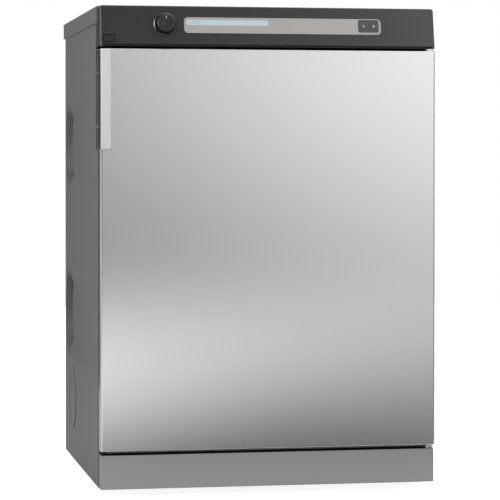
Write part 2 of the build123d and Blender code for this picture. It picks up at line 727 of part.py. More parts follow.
def screw_head(radius, height):
    """Low round head with a cross recess, standing on local Z 0."""
    head = Cylinder(radius, height, align=LOW)
    slot = radius * 0.3
    for turn in (0, 90):
        head -= Pos(0, 0, height) * Rot(0, 0, turn) * Box(radius * 1.2, slot, height)
    return head


def recess_screws():
    """The two bright screws that hold the recess, in its rear wall near the cabinet's side."""
    x = -HALF + RECESS_SCREW_INSET
    heads = []
    for rise in RECESS_SCREW_RISES:
        place = Pos(x, RECESS_BACK - RECESS_WALL, RECESS_BOTTOM + rise) * Rot(90, 0, 0)
        heads.append(place * screw_head(RECESS_SCREW_RADIUS, 1.6))
    return heads


def door_magnet():
    """Magnet of the door catch, held in the front panel."""
    body = rod(MAGNET_X, MAGNET_Z, MAGNET_RADIUS, MAGNET_FACE, FRONT_PANEL + SHEET + 6)
    return body + rod(MAGNET_X, MAGNET_Z, MAGNET_RADIUS + 3, FRONT_PANEL - 1.5, FRONT_PANEL)


def magnet_plate():
    """Steel plate on the door that the magnet holds."""
    return rod(MAGNET_X, MAGNET_Z, MAGNET_RADIUS + 2, INNER_BACK, MAGNET_FACE - SEAL_GAP)


def door_switch():
    """Switch behind the front panel, bored for its plunger."""
    front = FRONT_PANEL + SHEET
    body = block(SWITCH_X - 12, SWITCH_X + 12, front, front + SWITCH_BODY, SWITCH_Z - 15, SWITCH_Z + 15)
    bore = PLUNGER_RADIUS + RUNNING_GAP
    return body - rod(SWITCH_X, SWITCH_Z, bore, front - 1, front + SWITCH_BODY - 3)


def switch_plunger():
    """Plunger of the door switch, held in by the shut door."""
    return rod(SWITCH_X, SWITCH_Z, PLUNGER_RADIUS, INNER_BACK + SEAL_GAP, FRONT_PANEL + SHEET + 10)


def drum_shell():
    """Drum wall with its front ring and the collar that runs on the felt."""
    shell = ring(0, DRUM_HEIGHT, DRUM_RADIUS, DRUM_RADIUS - DRUM_SHEET, DRUM_FRONT, DRUM_BACK)
    inner = COLLAR_INNER
    shell += ring(0, DRUM_HEIGHT, DRUM_RADIUS, inner, DRUM_FRONT, DRUM_FRONT + DRUM_SHEET)
    shell += ring(0, DRUM_HEIGHT, inner + DRUM_SHEET, inner, DRUM_FRONT - DRUM_COLLAR_LENGTH, DRUM_FRONT + 1)
    return shell


def drum_back():
    """Rear disc of the drum, with rings of air holes."""
    disc = rod(0, DRUM_HEIGHT, DRUM_RADIUS, DRUM_BACK, DRUM_BACK + DRUM_SHEET)
    for k, radius in enumerate(AIR_HOLE_RINGS):
        for n in range(AIR_HOLES_PER_RING):
            angle = math.tau * (n + k / 2) / AIR_HOLES_PER_RING
            x, z = radius * math.cos(angle), DRUM_HEIGHT + radius * math.sin(angle)
            disc -= rod(x, z, AIR_HOLE_RADIUS, DRUM_BACK - 1, DRUM_BACK + DRUM_SHEET + 1)
    return disc


def drum_lifters():
    """Three hollow-backed lifters along the drum wall."""
    reach = DRUM_RADIUS - DRUM_SHEET
    half, tip = LIFTER_WIDTH / 2, LIFTER_WIDTH / 5
    top = -reach + LIFTER_HEIGHT
    outline = Polygon((-half, -reach - 12), (half, -reach - 12), (tip, top), (-tip, top), align=None)
    start = DRUM_FRONT + DRUM_SHEET + LIFTER_END_GAP
    length = DRUM_BACK - LIFTER_END_GAP - start
    bar = Pos(0, start + length, 0) * Rot(90, 0, 0) * extrude(outline, amount=length)
    bar = fillet(bar.edges().group_by(Axis.Z)[-1], 6)
    bar = bar & rod(0, 0, reach, start, start + length)
    return [
        Pos(0, 0, DRUM_HEIGHT) * Rot(0, 360 * n / LIFTER_COUNT, 0) * bar for n in range(LIFTER_COUNT)
    ]


def drum_shaft():
    """Rear shaft of the drum with its flange."""
    start = DRUM_BACK + DRUM_SHEET
    flange = rod(0, DRUM_HEIGHT, HUB_RADIUS, start, start + HUB_THICKNESS)
    return flange + rod(0, DRUM_HEIGHT, SHAFT_RADIUS, start, REAR_PANEL - 6)


def bearing_housing():
    """Flanged housing on the rear panel that holds the drum's bearing."""
    neck = BEARING_RADIUS + 8
    housing = rod(0, DRUM_HEIGHT, neck, HOUSING_FRONT, REAR_PANEL)
    housing += rod(0, DRUM_HEIGHT, neck + 10, REAR_PANEL - 8, REAR_PANEL)
    housing -= rod(0, DRUM_HEIGHT, BEARING_RADIUS, HOUSING_FRONT - 1, HOUSING_FRONT + BEARING_WIDTH)
    housing -= rod(0, DRUM_HEIGHT, SHAFT_RADIUS + 2, HOUSING_FRONT - 1, REAR_PANEL - 4)
    return housing


def drum_bearing():
    """Bearing ring of the drum's shaft."""
    bore = SHAFT_RADIUS + RUNNING_GAP
    return ring(0, DRUM_HEIGHT, BEARING_RADIUS, bore, HOUSING_FRONT, HOUSING_FRONT + BEARING_WIDTH)


def front_felt():
    """Felt ring on the front panel's collar that the drum's collar runs on."""
    inner = OPENING_RADIUS + SHEET
    start = FRONT_PANEL + SHEET + DUCT_DEPTH + 2
    return ring(0, DRUM_HEIGHT, inner + FELT_WIDTH, inner, start, start + FELT_LENGTH)


def heater_pan():
    """Round pan on the rear panel that leads hot air to the drum's rear disc."""
    start = DRUM_BACK + DRUM_SHEET + HEATER_PAN_GAP
    inner = HEATER_RADIUS - HEATER_WALL
    pan = ring(0, DRUM_HEIGHT, HEATER_RADIUS, inner, start, REAR_PANEL)
    pan += ring(0, DRUM_HEIGHT, HEATER_RADIUS, BEARING_RADIUS + 18.5, REAR_PANEL - HEATER_WALL, REAR_PANEL)
    return pan


def rear_felt():
    """Felt ring between the heater pan and the drum's rear disc."""
    start = DRUM_BACK + DRUM_SHEET
    middle = HEATER_RADIUS - HEATER_WALL / 2
    return ring(0, DRUM_HEIGHT, middle + 5, middle - 5, start + FELT_GAP, start + HEATER_PAN_GAP)


def heater_elements():
    """Three round heating rods in the pan."""
    y = REAR_PANEL - HEATER_WALL - ELEMENT_STANDOFF
    rods = []
    for radius in ELEMENT_RINGS:
        rods.append(Pos(0, y, DRUM_HEIGHT) * Rot(90, 0, 0) * Torus(radius, ELEMENT_RADIUS))
    return rods


def element_holders():
    """Ceramic blocks that carry the heating rods."""
    back = REAR_PANEL - HEATER_WALL
    y = back - ELEMENT_STANDOFF
    low, high = ELEMENT_RINGS[-1] - 10, ELEMENT_RINGS[0] + 10
    holders = []
    for n in range(3):
        bar = block(-6, 6, y, back, low, high)
        bar = Pos(0, 0, DRUM_HEIGHT) * Rot(0, 60 + 120 * n, 0) * bar
        for element in heater_elements():
            bar -= element
        holders.append(bar)
    return holders


def hull_loop(radii_grow):
    """Outline round the drum, the motor pulley and the idler, as a flat face in X and Z."""
    circles = []
    for x, z, radius in (
        (0, DRUM_HEIGHT, DRUM_RADIUS),
        (MOTOR_X, MOTOR_Z, PULLEY_RADIUS),
        (IDLER_X, IDLER_Z, IDLER_RADIUS),
    ):
        circles.append((Pos(x, z) * Circle(radius + radii_grow)).edges())
    return make_hull([edge for edges in circles for edge in edges])


def drive_belt():
    """Flat belt round the drum, the motor pulley and the idler."""
    outer = extrude(hull_loop(BELT_GAP + BELT_THICKNESS), amount=BELT_WIDTH)
    inner = Pos(0, 0, -1) * extrude(hull_loop(BELT_GAP), amount=BELT_WIDTH + 2)
    return Pos(0, BELT_PLACE + BELT_WIDTH, 0) * Rot(90, 0, 0) * (outer - inner)


def motor():
    """Motor body with its end bells, bored for the shaft."""
    body = rod(MOTOR_X, MOTOR_Z, MOTOR_RADIUS, MOTOR_FRONT, MOTOR_BACK)
    body = fillet(body.edges(), 5)
    body += rod(MOTOR_X, MOTOR_Z, MOTOR_RADIUS * 0.6, MOTOR_FRONT - BELL, MOTOR_BACK + BELL)
    bore = MOTOR_SHAFT_RADIUS + RUNNING_GAP
    return body - rod(MOTOR_X, MOTOR_Z, bore, MOTOR_FRONT - 20, MOTOR_BACK + 20)


def motor_bracket():
    """Cradle that carries the motor on the base."""
    half = MOTOR_RADIUS * 0.86
    cradle = block(MOTOR_X - half, MOTOR_X + half, MOTOR_FRONT + 8, MOTOR_BACK - 8, BASE_TOP, MOTOR_Z - 24)
    cradle -= block(
        MOTOR_X - half + 6, MOTOR_X + half - 6, MOTOR_FRONT + 28, MOTOR_BACK - 28, BASE_TOP - 1, MOTOR_Z
    )
    return cradle - rod(MOTOR_X, MOTOR_Z, MOTOR_RADIUS, MOTOR_FRONT, MOTOR_BACK)


def motor_shaft():
    """Through shaft of the motor."""
    return rod(MOTOR_X, MOTOR_Z, MOTOR_SHAFT_RADIUS, FAN_BACK - 20, PULLEY_END)


def motor_pulley():
    """Small pulley on the motor's rear shaft end, with two rims."""
    start, end = BELT_PLACE - 1, BELT_PLACE + BELT_WIDTH + 1
    pulley = rod(MOTOR_X, MOTOR_Z, PULLEY_RADIUS, start - 2, end + 2)
    for y in (start - 2, end):
        pulley += rod(MOTOR_X, MOTOR_Z, PULLEY_RADIUS + RIM_HEIGHT, y, y + 2)
    return pulley - rod(MOTOR_X, MOTOR_Z, MOTOR_SHAFT_RADIUS, start - 3, end + 3)


def idler_pulley():
    """Idler that keeps the belt tight, with two rims."""
    start, end = BELT_PLACE - 1, BELT_PLACE + BELT_WIDTH + 1
    pulley = rod(IDLER_X, IDLER_Z, IDLER_RADIUS, start - 2, end + 2)
    for y in (start - 2, end):
        pulley += rod(IDLER_X, IDLER_Z, IDLER_RADIUS + RIM_HEIGHT, y, y + 2)
    bore = AXLE_RADIUS + RUNNING_GAP
    return pulley - rod(IDLER_X, IDLER_Z, bore, start - 3, end + 3)


def tension_arm():
    """Arm that carries the idler: strap, hub on the bracket's pin and the idler's axle."""
    length = math.hypot(IDLER_X - ARM_X, IDLER_Z - ARM_Z)
    angle = math.degrees(math.atan2(IDLER_Z - ARM_Z, IDLER_X - ARM_X))
    strap = SlotCenterToCenter(length, 2 * ARM_HALF)
    strap = Rot(0, 0, angle) * Pos(length / 2, 0) * strap
    arm = Pos(ARM_X, ARM_PLACE + ARM_THICKNESS, ARM_Z) * Rot(90, 0, 0) * extrude(strap, amount=ARM_THICKNESS)
    arm += rod(ARM_X, ARM_Z, ARM_HALF, ARM_PLACE, ARM_PLACE + 2 * ARM_THICKNESS)
    arm -= rod(ARM_X, ARM_Z, AXLE_RADIUS + RUNNING_GAP, ARM_PLACE - 1, ARM_PLACE + 4 * ARM_THICKNESS)
    return arm + rod(IDLER_X, IDLER_Z, AXLE_RADIUS, ARM_PLACE, BELT_PLACE + BELT_WIDTH + 6)


def arm_bracket():
    """Upright on the base with the pin that the tension arm turns on."""
    back = ARM_PLACE - 0.5
    upright = block(ARM_X - 16, ARM_X + 16, back - 3, back, BASE_TOP, ARM_Z + 14)
    upright += block(ARM_X - 16, ARM_X + 16, back - 24, back, BASE_TOP, BASE_TOP + 3)
    upright += rod(ARM_X, ARM_Z, AXLE_RADIUS, back, ARM_PLACE + 2 * ARM_THICKNESS + 4)
    clip_front = ARM_PLACE + 2 * ARM_THICKNESS + 1
    return upright + ring(ARM_X, ARM_Z, AXLE_RADIUS + 3, AXLE_RADIUS - 0.5, clip_front, clip_front + 1.5)


def tension_spring():
    """Torsion spring wound round the arm's hub."""
    path = Helix(SPRING_PITCH, SPRING_TURNS * SPRING_PITCH, ARM_HALF + SPRING_WIRE + 0.4)
    start = path @ 0
    section = Plane(origin=start, z_dir=path % 0) * Circle(SPRING_WIRE)
    coil = sweep(section, path=path)
    return Pos(ARM_X, ARM_PLACE + ARM_THICKNESS + SPRING_WIRE + 0.2, ARM_Z) * Rot(-90, 0, 0) * coil


def fan_wheel():
    """Radial blower wheel on the motor's front shaft end."""
    front = FAN_BACK - FAN_WIDTH
    wheel = rod(MOTOR_X, MOTOR_Z, FAN_RADIUS, FAN_BACK - 2, FAN_BACK)
    wheel += rod(MOTOR_X, MOTOR_Z, FAN_HUB, FAN_BACK - 24, FAN_BACK)
    inner = INTAKE_RADIUS - 2
    blade = block(inner, FAN_RADIUS - 0.5, front, FAN_BACK - 1, -0.9, 0.9)
    for n in range(FAN_BLADES):
        wheel += Pos(MOTOR_X, 0, MOTOR_Z) * Rot(0, 360 * n / FAN_BLADES, 0) * blade
    wheel += ring(MOTOR_X, MOTOR_Z, FAN_RADIUS, FAN_RADIUS - 6, front, front + 2)
    return wheel - rod(MOTOR_X, MOTOR_Z, MOTOR_SHAFT_RADIUS, front - 1, FAN_BACK + 1)


def fan_housing():
    """Round blower housing with its intake at the front and its outlet to the right."""
    wall = SCROLL_WALL
    front = FAN_BACK - FAN_WIDTH - 4 - wall
    back = FAN_BACK + 4 + wall
    outer = FAN_RADIUS + SCROLL_GAP + wall
    low = MOTOR_Z - outer
    shell = rod(MOTOR_X, MOTOR_Z, outer, front, back)
    shell += block(MOTOR_X, ELBOW_LEFT, front, back, low, low + OUTLET_HEIGHT)
    hollow = rod(MOTOR_X, MOTOR_Z, outer - wall, front + wall, back - wall)
    floor, roof = low + wall, low + OUTLET_HEIGHT - wall
    hollow += block(MOTOR_X, ELBOW_LEFT + 1, front + wall, back - wall, floor, roof)
    shell -= hollow
    shell -= rod(MOTOR_X, MOTOR_Z, INTAKE_RADIUS, front - 1, front + wall + 1)
    return shell - rod(MOTOR_X, MOTOR_Z, MOTOR_SHAFT_RADIUS + 3, back - wall - 1, back + 1)


def exhaust_elbow():
    """Box that turns the air from the blower's outlet into the exhaust pipe."""
    wall = SCROLL_WALL
    front = FAN_BACK - FAN_WIDTH - 4 - wall
    low = MOTOR_Z - FAN_RADIUS - SCROLL_GAP - wall
    right = EXHAUST_X + EXHAUST_RADIUS + 3
    top = EXHAUST_Z + EXHAUST_RADIUS + 3
    box = block(ELBOW_LEFT, right, front, ELBOW_BACK, low, top)
    box -= block(ELBOW_LEFT + wall, right - wall, front + wall, ELBOW_BACK - wall, low + wall, top - wall)
    box -= block(
        ELBOW_LEFT - 1,
        ELBOW_LEFT + wall + 1,
        front + wall,
        FAN_BACK + 4,
        low + wall,
        low + OUTLET_HEIGHT - wall,
    )
    bore = EXHAUST_RADIUS - EXHAUST_WALL
    return box - rod(EXHAUST_X, EXHAUST_Z, bore, ELBOW_BACK - wall - 1, ELBOW_BACK + 1)


def exhaust_pipe():
    """Exhaust pipe from the elbow through the rear panel, stepped down to the hose's spigot."""
    bore = EXHAUST_RADIUS - EXHAUST_WALL
    shoulder = SPIGOT_END - SPIGOT_PLAIN
    pipe = ring(EXHAUST_X, EXHAUST_Z, EXHAUST_RADIUS + SPIGOT_STEP, bore, ELBOW_BACK, shoulder)
    return pipe + ring(EXHAUST_X, EXHAUST_Z, EXHAUST_RADIUS, bore, shoulder, SPIGOT_END)


def filter_duct():
    """Flat duct behind the front panel, from the collar's slot down to the blower's intake."""
    wall = DUCT_WALL
    front = FRONT_PANEL + SHEET
    back = front + DUCT_DEPTH
    right = DUCT_SLOT + 12
    top = DRUM_HEIGHT - OPENING_RADIUS + 20
    duct = block(DUCT_LEFT, right, front, back, DUCT_BOTTOM, top)
    duct -= block(DUCT_LEFT + wall, right - wall, front + wall, back - wall, DUCT_BOTTOM + wall, top - wall)
    duct -= block(-DUCT_SLOT, DUCT_SLOT, front + wall, back - wall, top - 60, top + 1)
    duct -= rod(0, DRUM_HEIGHT, OPENING_RADIUS + SHEET, front - 1, back + 1)
    duct -= rod(MOTOR_X, MOTOR_Z, INTAKE_RADIUS, back - wall - 1, back + 1)
    neck_end = FAN_BACK - FAN_WIDTH - 4 - SCROLL_WALL
    return duct + ring(MOTOR_X, MOTOR_Z, INTAKE_RADIUS + wall, INTAKE_RADIUS, back - wall, neck_end)


def plinth_panel():
    """Kick plate: front sheet with rounded ends folded back to the side panels, and a top fold."""
    half = PLINTH_WIDTH / 2
    wall = PLINTH_SHEET
    outer = block(-half, half, PLINTH_FRONT, SIDE_FRONT, FOOT_CLEARANCE, PLINTH_TOP)
    outer = fillet(outer.edges().group_by(Axis.Y)[0].filter_by(Axis.Z), PLINTH_CORNER)
    inner = block(
        -half + wall, half - wall, PLINTH_FRONT + wall, SIDE_FRONT + 1, FOOT_CLEARANCE - 1, PLINTH_TOP - wall
    )
    inner = fillet(inner.edges().group_by(Axis.Y)[0].filter_by(Axis.Z), PLINTH_CORNER - wall)
    return outer - inner


def base_tray():
    """Base sheet of the cabinet with upturned sides and holes for the feet."""
    edge = HALF - SHEET
    wall = BASE_SHEET
    tray = block(-edge, edge, FRONT_PANEL, REAR_PANEL + SHEET, BASE_LEVEL, BASE_TOP)
    for x0, x1 in ((-edge, -edge + wall), (edge - wall, edge)):
        tray += block(x0, x1, FRONT_PANEL + SHEET, REAR_PANEL, BASE_LEVEL, BASE_TOP + BASE_EDGE)
    for x, y in foot_places():
        tray -= post(x, y, FOOT_STEM, BASE_LEVEL - 1, BASE_TOP + 1)
    return tray


def foot_places():
    """Centres of the four feet."""
    x = HALF - FOOT_INSET_X
    front, back = FOOT_INSET_FRONT, CABINET_BACK - FOOT_INSET_BACK
    return [(-x, front), (x, front), (-x, back), (x, back)]


def levelling_feet():
    """Rubber-soled feet on threaded stems."""
    feet = []
    for x, y in foot_places():
        pad = post(x, y, FOOT_RADIUS, 0, FOOT_PAD)
        pad = fillet(pad.edges().sort_by(Axis.Z)[-1:], 3)
        feet.append(pad + post(x, y, FOOT_STEM, FOOT_PAD, BASE_TOP + 18))
    return feet


def foot_nuts():
    """Lock nuts of the feet, under the base."""
    nuts = []
    for x, y in foot_places():
        nut = extrude(RegularPolygon(FOOT_STEM * 1.9, 6), amount=NUT_HEIGHT)
        nut -= Cylinder(FOOT_STEM, 3 * NUT_HEIGHT)
        nuts.append(Pos(x, y, BASE_LEVEL - NUT_HEIGHT) * nut)
    return nuts


def front_rail():
    """Cross rail between the side panels, behind the fascia."""
    edge = HALF - SHEET
    rail = block(-edge, edge, RAIL_FRONT, RAIL_FRONT + SHEET, DOOR_TOP + 6, LID_BOTTOM)
    return rail + block(-edge, edge, RAIL_FRONT, RAIL_FRONT + RAIL_DEPTH, LID_BOTTOM - SHEET, LID_BOTTOM)


def drum_lamp():
    """Lamp in the collar's crown that lights the drum."""
    crown = DRUM_HEIGHT + OPENING_RADIUS
    lens = block(-LAMP_HALF, LAMP_HALF, LAMP_PLACE, LAMP_PLACE + LAMP_DEPTH, crown - LAMP_DROP, crown + 1)
    lens = fillet(lens.edges().group_by(Axis.Z)[0], 3)
    return lens & rod(0, DRUM_HEIGHT, OPENING_RADIUS, LAMP_PLACE - 1, LAMP_PLACE + LAMP_DEPTH + 1)


def moisture_strips():
    """Two steel strips on the collar's lower lip that feel how damp the load is."""
    strips = []
    window = block(-STRIP_REACH, STRIP_REACH, 0, CABINET_BACK, 0, DRUM_HEIGHT)
    for y in (STRIP_PLACE, STRIP_PLACE + 8):
        band = ring(0, DRUM_HEIGHT, OPENING_RADIUS, OPENING_RADIUS - 1.2, y, y + 4)
        strips.append(band & window)
    return strips


def cable_gland():
    """Mains cable gland in the rear panel, with no cable in it."""
    back = CABINET_BACK - SHEET
    gland = rod(GLAND_X, GLAND_Z, GLAND_RADIUS, REAR_PANEL, back)
    hexagon = extrude(RegularPolygon(GLAND_RADIUS + 5, 6), amount=6)
    gland += Pos(GLAND_X, back + 6, GLAND_Z) * Rot(90, 0, 0) * hexagon
    gland += rod(GLAND_X, GLAND_Z, GLAND_RADIUS, back + 6, back + 15)
    return gland - rod(GLAND_X, GLAND_Z, GLAND_BORE, REAR_PANEL - 1, back + 16)


def terminal_block():
    """Mains terminal block inside the rear panel."""
    front = REAR_PANEL - TERMINAL_DEPTH
    left = GLAND_X + TERMINAL_GAP
    low, high = GLAND_Z - TERMINAL_HALF, GLAND_Z + TERMINAL_HALF
    body = block(left, left + TERMINAL_LENGTH, front, REAR_PANEL, low, high)
    for n in range(TERMINALS):
        x = left + TERMINAL_LENGTH * (n + 0.5) / TERMINALS
        body -= rod(x, GLAND_Z, 3, front - 1, front + 10)
    return body


def rear_screws():
    """Screws of the rear panel and of the lid."""
    heads = []
    back = CABINET_BACK
    step = (LID_BOTTOM - SCREW_TOP_DROP - SCREW_LOW) / (SCREW_COUNT - 1)
    for x in (-HALF + FLANGE / 2, HALF - FLANGE / 2):
        for k in range(SCREW_COUNT):
            z = SCREW_LOW + k * step
            heads.append(Pos(x, back, z) * Rot(-90, 0, 0) * screw_head(SCREW_RADIUS, 2.4))
    return heads


def control_fascia():
    """Leaning fascia shell, open at the back, with pockets and holes for the controls."""
    wall = FASCIA_WALL
    outline = Polygon(
        (FASCIA_FRONT_LOW, FASCIA_BOTTOM),
        (FASCIA_FRONT_TOP, TOP_HEIGHT),
        (FASCIA_TOP_DEPTH, TOP_HEIGHT),
        (FASCIA_TOP_DEPTH, LID_BOTTOM),
        (FASCIA_SIDE_DEPTH, LID_BOTTOM),
        (FASCIA_SIDE_DEPTH, FASCIA_BOTTOM),
        align=None,
    )
    hollow = Polygon(
        (FASCIA_FRONT_LOW + wall, FASCIA_BOTTOM + wall),
        (FASCIA_FRONT_TOP + wall - 0.6, TOP_HEIGHT - wall),
        (FASCIA_TOP_DEPTH + 1, TOP_HEIGHT - wall),
        (FASCIA_TOP_DEPTH + 1, LID_BOTTOM - wall),
        (FASCIA_SIDE_DEPTH + 1, LID_BOTTOM - wall),
        (FASCIA_SIDE_DEPTH + 1, FASCIA_BOTTOM + wall),
        align=None,
    )
    # Local X of this plane runs backwards and local Y up
    profile = Plane(origin=(-HALF, 0, 0), x_dir=(0, 1, 0), z_dir=(1, 0, 0))
    shell = extrude(profile * outline, amount=CABINET_WIDTH, dir=(1, 0, 0))
    shoulders = shell.faces().sort_by(Axis.Z)[-1].edges().filter_by(Axis.Y)
    shell = fillet(shoulders, FASCIA_SHOULDER)
    shell = fillet(leaning_ends(shell), FASCIA_CORNER)
    inside = Plane(origin=(-HALF + wall, 0, 0), x_dir=(0, 1, 0), z_dir=(1, 0, 0))
    shell -= extrude(inside * hollow, amount=CABINET_WIDTH - 2 * wall, dir=(1, 0, 0))
    middle = (STRIP_LEFT + STRIP_RIGHT) / 2
    width = STRIP_RIGHT - STRIP_LEFT
    shell -= on_face(middle, STRIP_UP, -STRIP_DEPTH) * rounded(width, STRIP_HEIGHT, STRIP_END, 4)
    shell -= screen_block(-SCREEN_CELL, 2)
    shell -= keys_block(-9, 2, KEY_GAP)
    shell -= power_block(-9, 2, POWER_GAP)
    return shell - on_face(KNOB_X, KNOB_UP) * Cylinder(KNOB_SHAFT_RADIUS + 1, 20)


def leaning_ends(shell):
    """The two leaning end edges of the fascia's face."""
    ends = [edge for edge in shell.edges() if edge.bounding_box().size.X < 0.01]
    return ShapeList(ends).sort_by(lambda edge: edge.center().Y)[:2]


def screen_block(low, high):
    """Block of the display's outline, from low to high out of the face."""
    middle = (SCREEN_LEFT + SCREEN_RIGHT) / 2
    return on_face(middle, SCREEN_UP, low) * rounded(SCREEN_WIDTH, SCREEN_HEIGHT, SCREEN_CORNER, high - low)


def keys_block(low, high, grow):
    """Block of the key field's outline, from low to high out of the face."""
    width, height = KEYS_WIDTH + 2 * grow, KEYS_HEIGHT + 2 * grow
    middle = (KEYS_LEFT + KEYS_RIGHT) / 2
    return on_face(middle, KEYS_UP, low) * rounded(width, height, KEY_CORNER + grow, high - low)


def power_block(low, high, grow):
    """Block of the power switch's outline, from low to high out of the face."""
    width = POWER_WIDTH - 2 * POWER_GAP + 2 * grow
    height = POWER_HEIGHT - 2 * POWER_GAP + 2 * grow
    middle = (POWER_LEFT + POWER_RIGHT) / 2
    slab = rounded(width, height, 1.2, high - low)
    return on_face(middle, POWER_UP, low) * slab


def display_strip():
    """Warm grey strip along the fascia, with openings for the display and the keys."""
    middle = (STRIP_LEFT + STRIP_RIGHT) / 2
    width = STRIP_RIGHT - STRIP_LEFT
    strip = on_face(middle, STRIP_UP, -STRIP_DEPTH) * rounded(width, STRIP_HEIGHT, STRIP_END, STRIP_DEPTH)
    return strip - screen_block(-5, 5) - keys_block(-5, 5, KEY_FRAME + KEY_GAP)


def display_screen():
    """Pale display, flush with the strip."""
    return screen_block(-SCREEN_CELL, 0)


def key_frame():
    """Pale frame round the two keys, in the strip."""
    frame = keys_block(-STRIP_DEPTH, 0.4, KEY_FRAME + KEY_GAP)
    return frame - keys_block(-STRIP_DEPTH - 1, 1, KEY_GAP)


def key(left_side):
    """One of the two keys, with a plunger behind it."""
    body = keys_block(-KEY_LENGTH, KEY_PROUD, 0)
    split = KEYS_SPLIT - KEY_GAP / 2 if left_side else KEYS_SPLIT + KEY_GAP / 2
    x0, x1 = (KEYS_LEFT - 5, split) if left_side else (split, KEYS_RIGHT + 5)
    cutter = on_face((x0 + x1) / 2, KEYS_UP) * Box(x1 - x0, KEYS_HEIGHT * 2, 40)
    return body & cutter


def power_switch():
    """Flush power switch button."""
    return power_block(-POWER_LENGTH, 0, 0)


def power_body():
    """Housing of the power switch behind the fascia."""
    body = power_block(-POWER_LENGTH - POWER_ROOM - 2, -BOARD_DEPTH, POWER_GAP + 2)
    return body - power_block(-POWER_LENGTH - POWER_ROOM, 1, POWER_GAP)


def knob_collar():
    """Fixed collar round the programme knob, sloping in to it."""
    collar = Cylinder(KNOB_COLLAR_RADIUS, COLLAR_RISE, align=LOW)
    collar = fillet(collar.edges().sort_by(Axis.Z)[-1:], COLLAR_RISE * 0.6)
    collar -= Cylinder(KNOB_RADIUS + 1, 20)
    return on_face(KNOB_X, KNOB_UP) * collar


def programme_knob():
    """Round knob with a dished face and a shaft."""
    knob = Cylinder(KNOB_RADIUS, KNOB_LENGTH, align=LOW)
    knob = fillet(knob.edges().sort_by(Axis.Z)[-1:], 2.5)
    knob -= Pos(0, 0, KNOB_LENGTH + 60 - 0.6) * Sphere(60)
    knob += Pos(0, 0, -SHAFT_LENGTH) * Cylinder(KNOB_SHAFT_RADIUS, SHAFT_LENGTH + 1, align=LOW)
    return on_face(KNOB_X, KNOB_UP, 0.4) * knob


def knob_encoder():
    """Rotary encoder behind the fascia that the knob's shaft turns in."""
    body = Box(ENCODER_SIZE, ENCODER_SIZE, ENCODER_DEPTH, align=(Align.CENTER, Align.CENTER, Align.MAX))
    body += Cylinder(7, 12, align=(Align.CENTER, Align.CENTER, Align.MAX))
    body -= Cylinder(KNOB_SHAFT_RADIUS + RUNNING_GAP, 6 * ENCODER_DEPTH)
    return on_face(KNOB_X, KNOB_UP, -BOARD_DEPTH) * body


def control_board():
    """Circuit board behind the fascia, on posts, with its larger components."""
    left, right = SCREEN_LEFT - 8, STRIP_RIGHT + 6
    middle, up = (left + right) / 2, STRIP_UP
    place = on_face(middle, up, -BOARD_PLACE - BOARD_THICKNESS / 2)
    board = place * Box(right - left, BOARD_HEIGHT, BOARD_THICKNESS)
    for x in (left + 5, right - 5):
        for z in (up - BOARD_POST, up + BOARD_POST):
            board += on_face(x, z, -BOARD_PLACE) * Cylinder(2.5, BOARD_PLACE - BOARD_DEPTH, align=LOW)
    for along, width in BOARD_PARTS:
        place = on_face(left + along, up, -BOARD_PLACE - BOARD_THICKNESS - 4)
        board += place * Box(width, BOARD_PART_HEIGHT, 8)
    return board


save("left_side_panel", side_panel(True))
save("right_side_panel", mirrored(side_panel(False)))
save("vent_covers", vent_cover(), mirrored(vent_cover()))
save("top_lid", top_lid())
save("rear_panel", rear_panel())
save("front_panel", front_panel())
save("base_tray", base_tray())
save("plinth_panel", plinth_panel())
save("front_rail", front_rail())
save("levelling_feet", *levelling_feet())
save("foot_nuts", *foot_nuts())
save("cabinet_screws", *rear_screws(), *recess_screws())
save("grip_recess", grip_recess())
save("hinges", hinge(DOOR_TOP, -1), hinge(DOOR_BOTTOM, 1))
save("door_catch", door_magnet(), door_switch())
save("switch_plunger", switch_plunger())
save("drum_felts", front_felt(), rear_felt())
save("drum_lamp", drum_lamp())
save("moisture_strips", *moisture_strips())
save("filter_duct", filter_duct())
save("heater_pan", heater_pan())
save("heater_elements", *heater_elements(), *element_holders())
save("bearing_housing", bearing_housing())
save("drum_bearing", drum_bearing())
save("mains_inlet", cable_gland(), terminal_block())
save("motor", motor())
save("drive_brackets", motor_bracket(), arm_bracket())
save("drive_belt", drive_belt())
save("fan_housing", fan_housing())
save("exhaust_elbow", exhaust_elbow())
save("exhaust_pipe", exhaust_pipe())
save("control_fascia", control_fascia())
save("display_strip", display_strip())
save("display_screen", display_screen())
save("key_frame", key_frame())
save("knob_collar", knob_collar())
save("power_body", power_body())
save("control_board", control_board(), knob_encoder())

save("door_outer_panel", door_outer_panel())
save("door_inner_panel", door_inner_panel())
save("door_grip", door_grip())
save("grip_strip", grip_strip())
save("door_seal", door_seal())
save("hinge_bushes", *hinge_bushes())
save("magnet_plate", magnet_plate())
save("lint_filter_frame", lint_filter_frame())
save("lint_filter_mesh", *lint_filter_mesh())

save("programme_knob", programme_knob())
save("start_key", key(True))
save("stop_key", key(False))
save("power_switch", power_switch())
save("drum_shell", drum_shell())
save("drum_back", drum_back())
save("drum_lifters", *drum_lifters())
save("drum_shaft", drum_shaft())
save("motor_shaft", motor_shaft())
save("motor_pulley", motor_pulley())
save("fan_wheel", fan_wheel())
save("tension_arm", tension_arm(), tension_spring())
save("idler_pulley", idler_pulley())
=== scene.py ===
# %% [markdown]
# # Laundry dryer with a brushed steel door
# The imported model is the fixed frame: every panel, knob and pulley already stands where it belongs. This
# file gives those parts their finishes, adds the small things that only the eye needs, and sets up a
# product-photo studio round the machine.

# %% Load the frame
import math

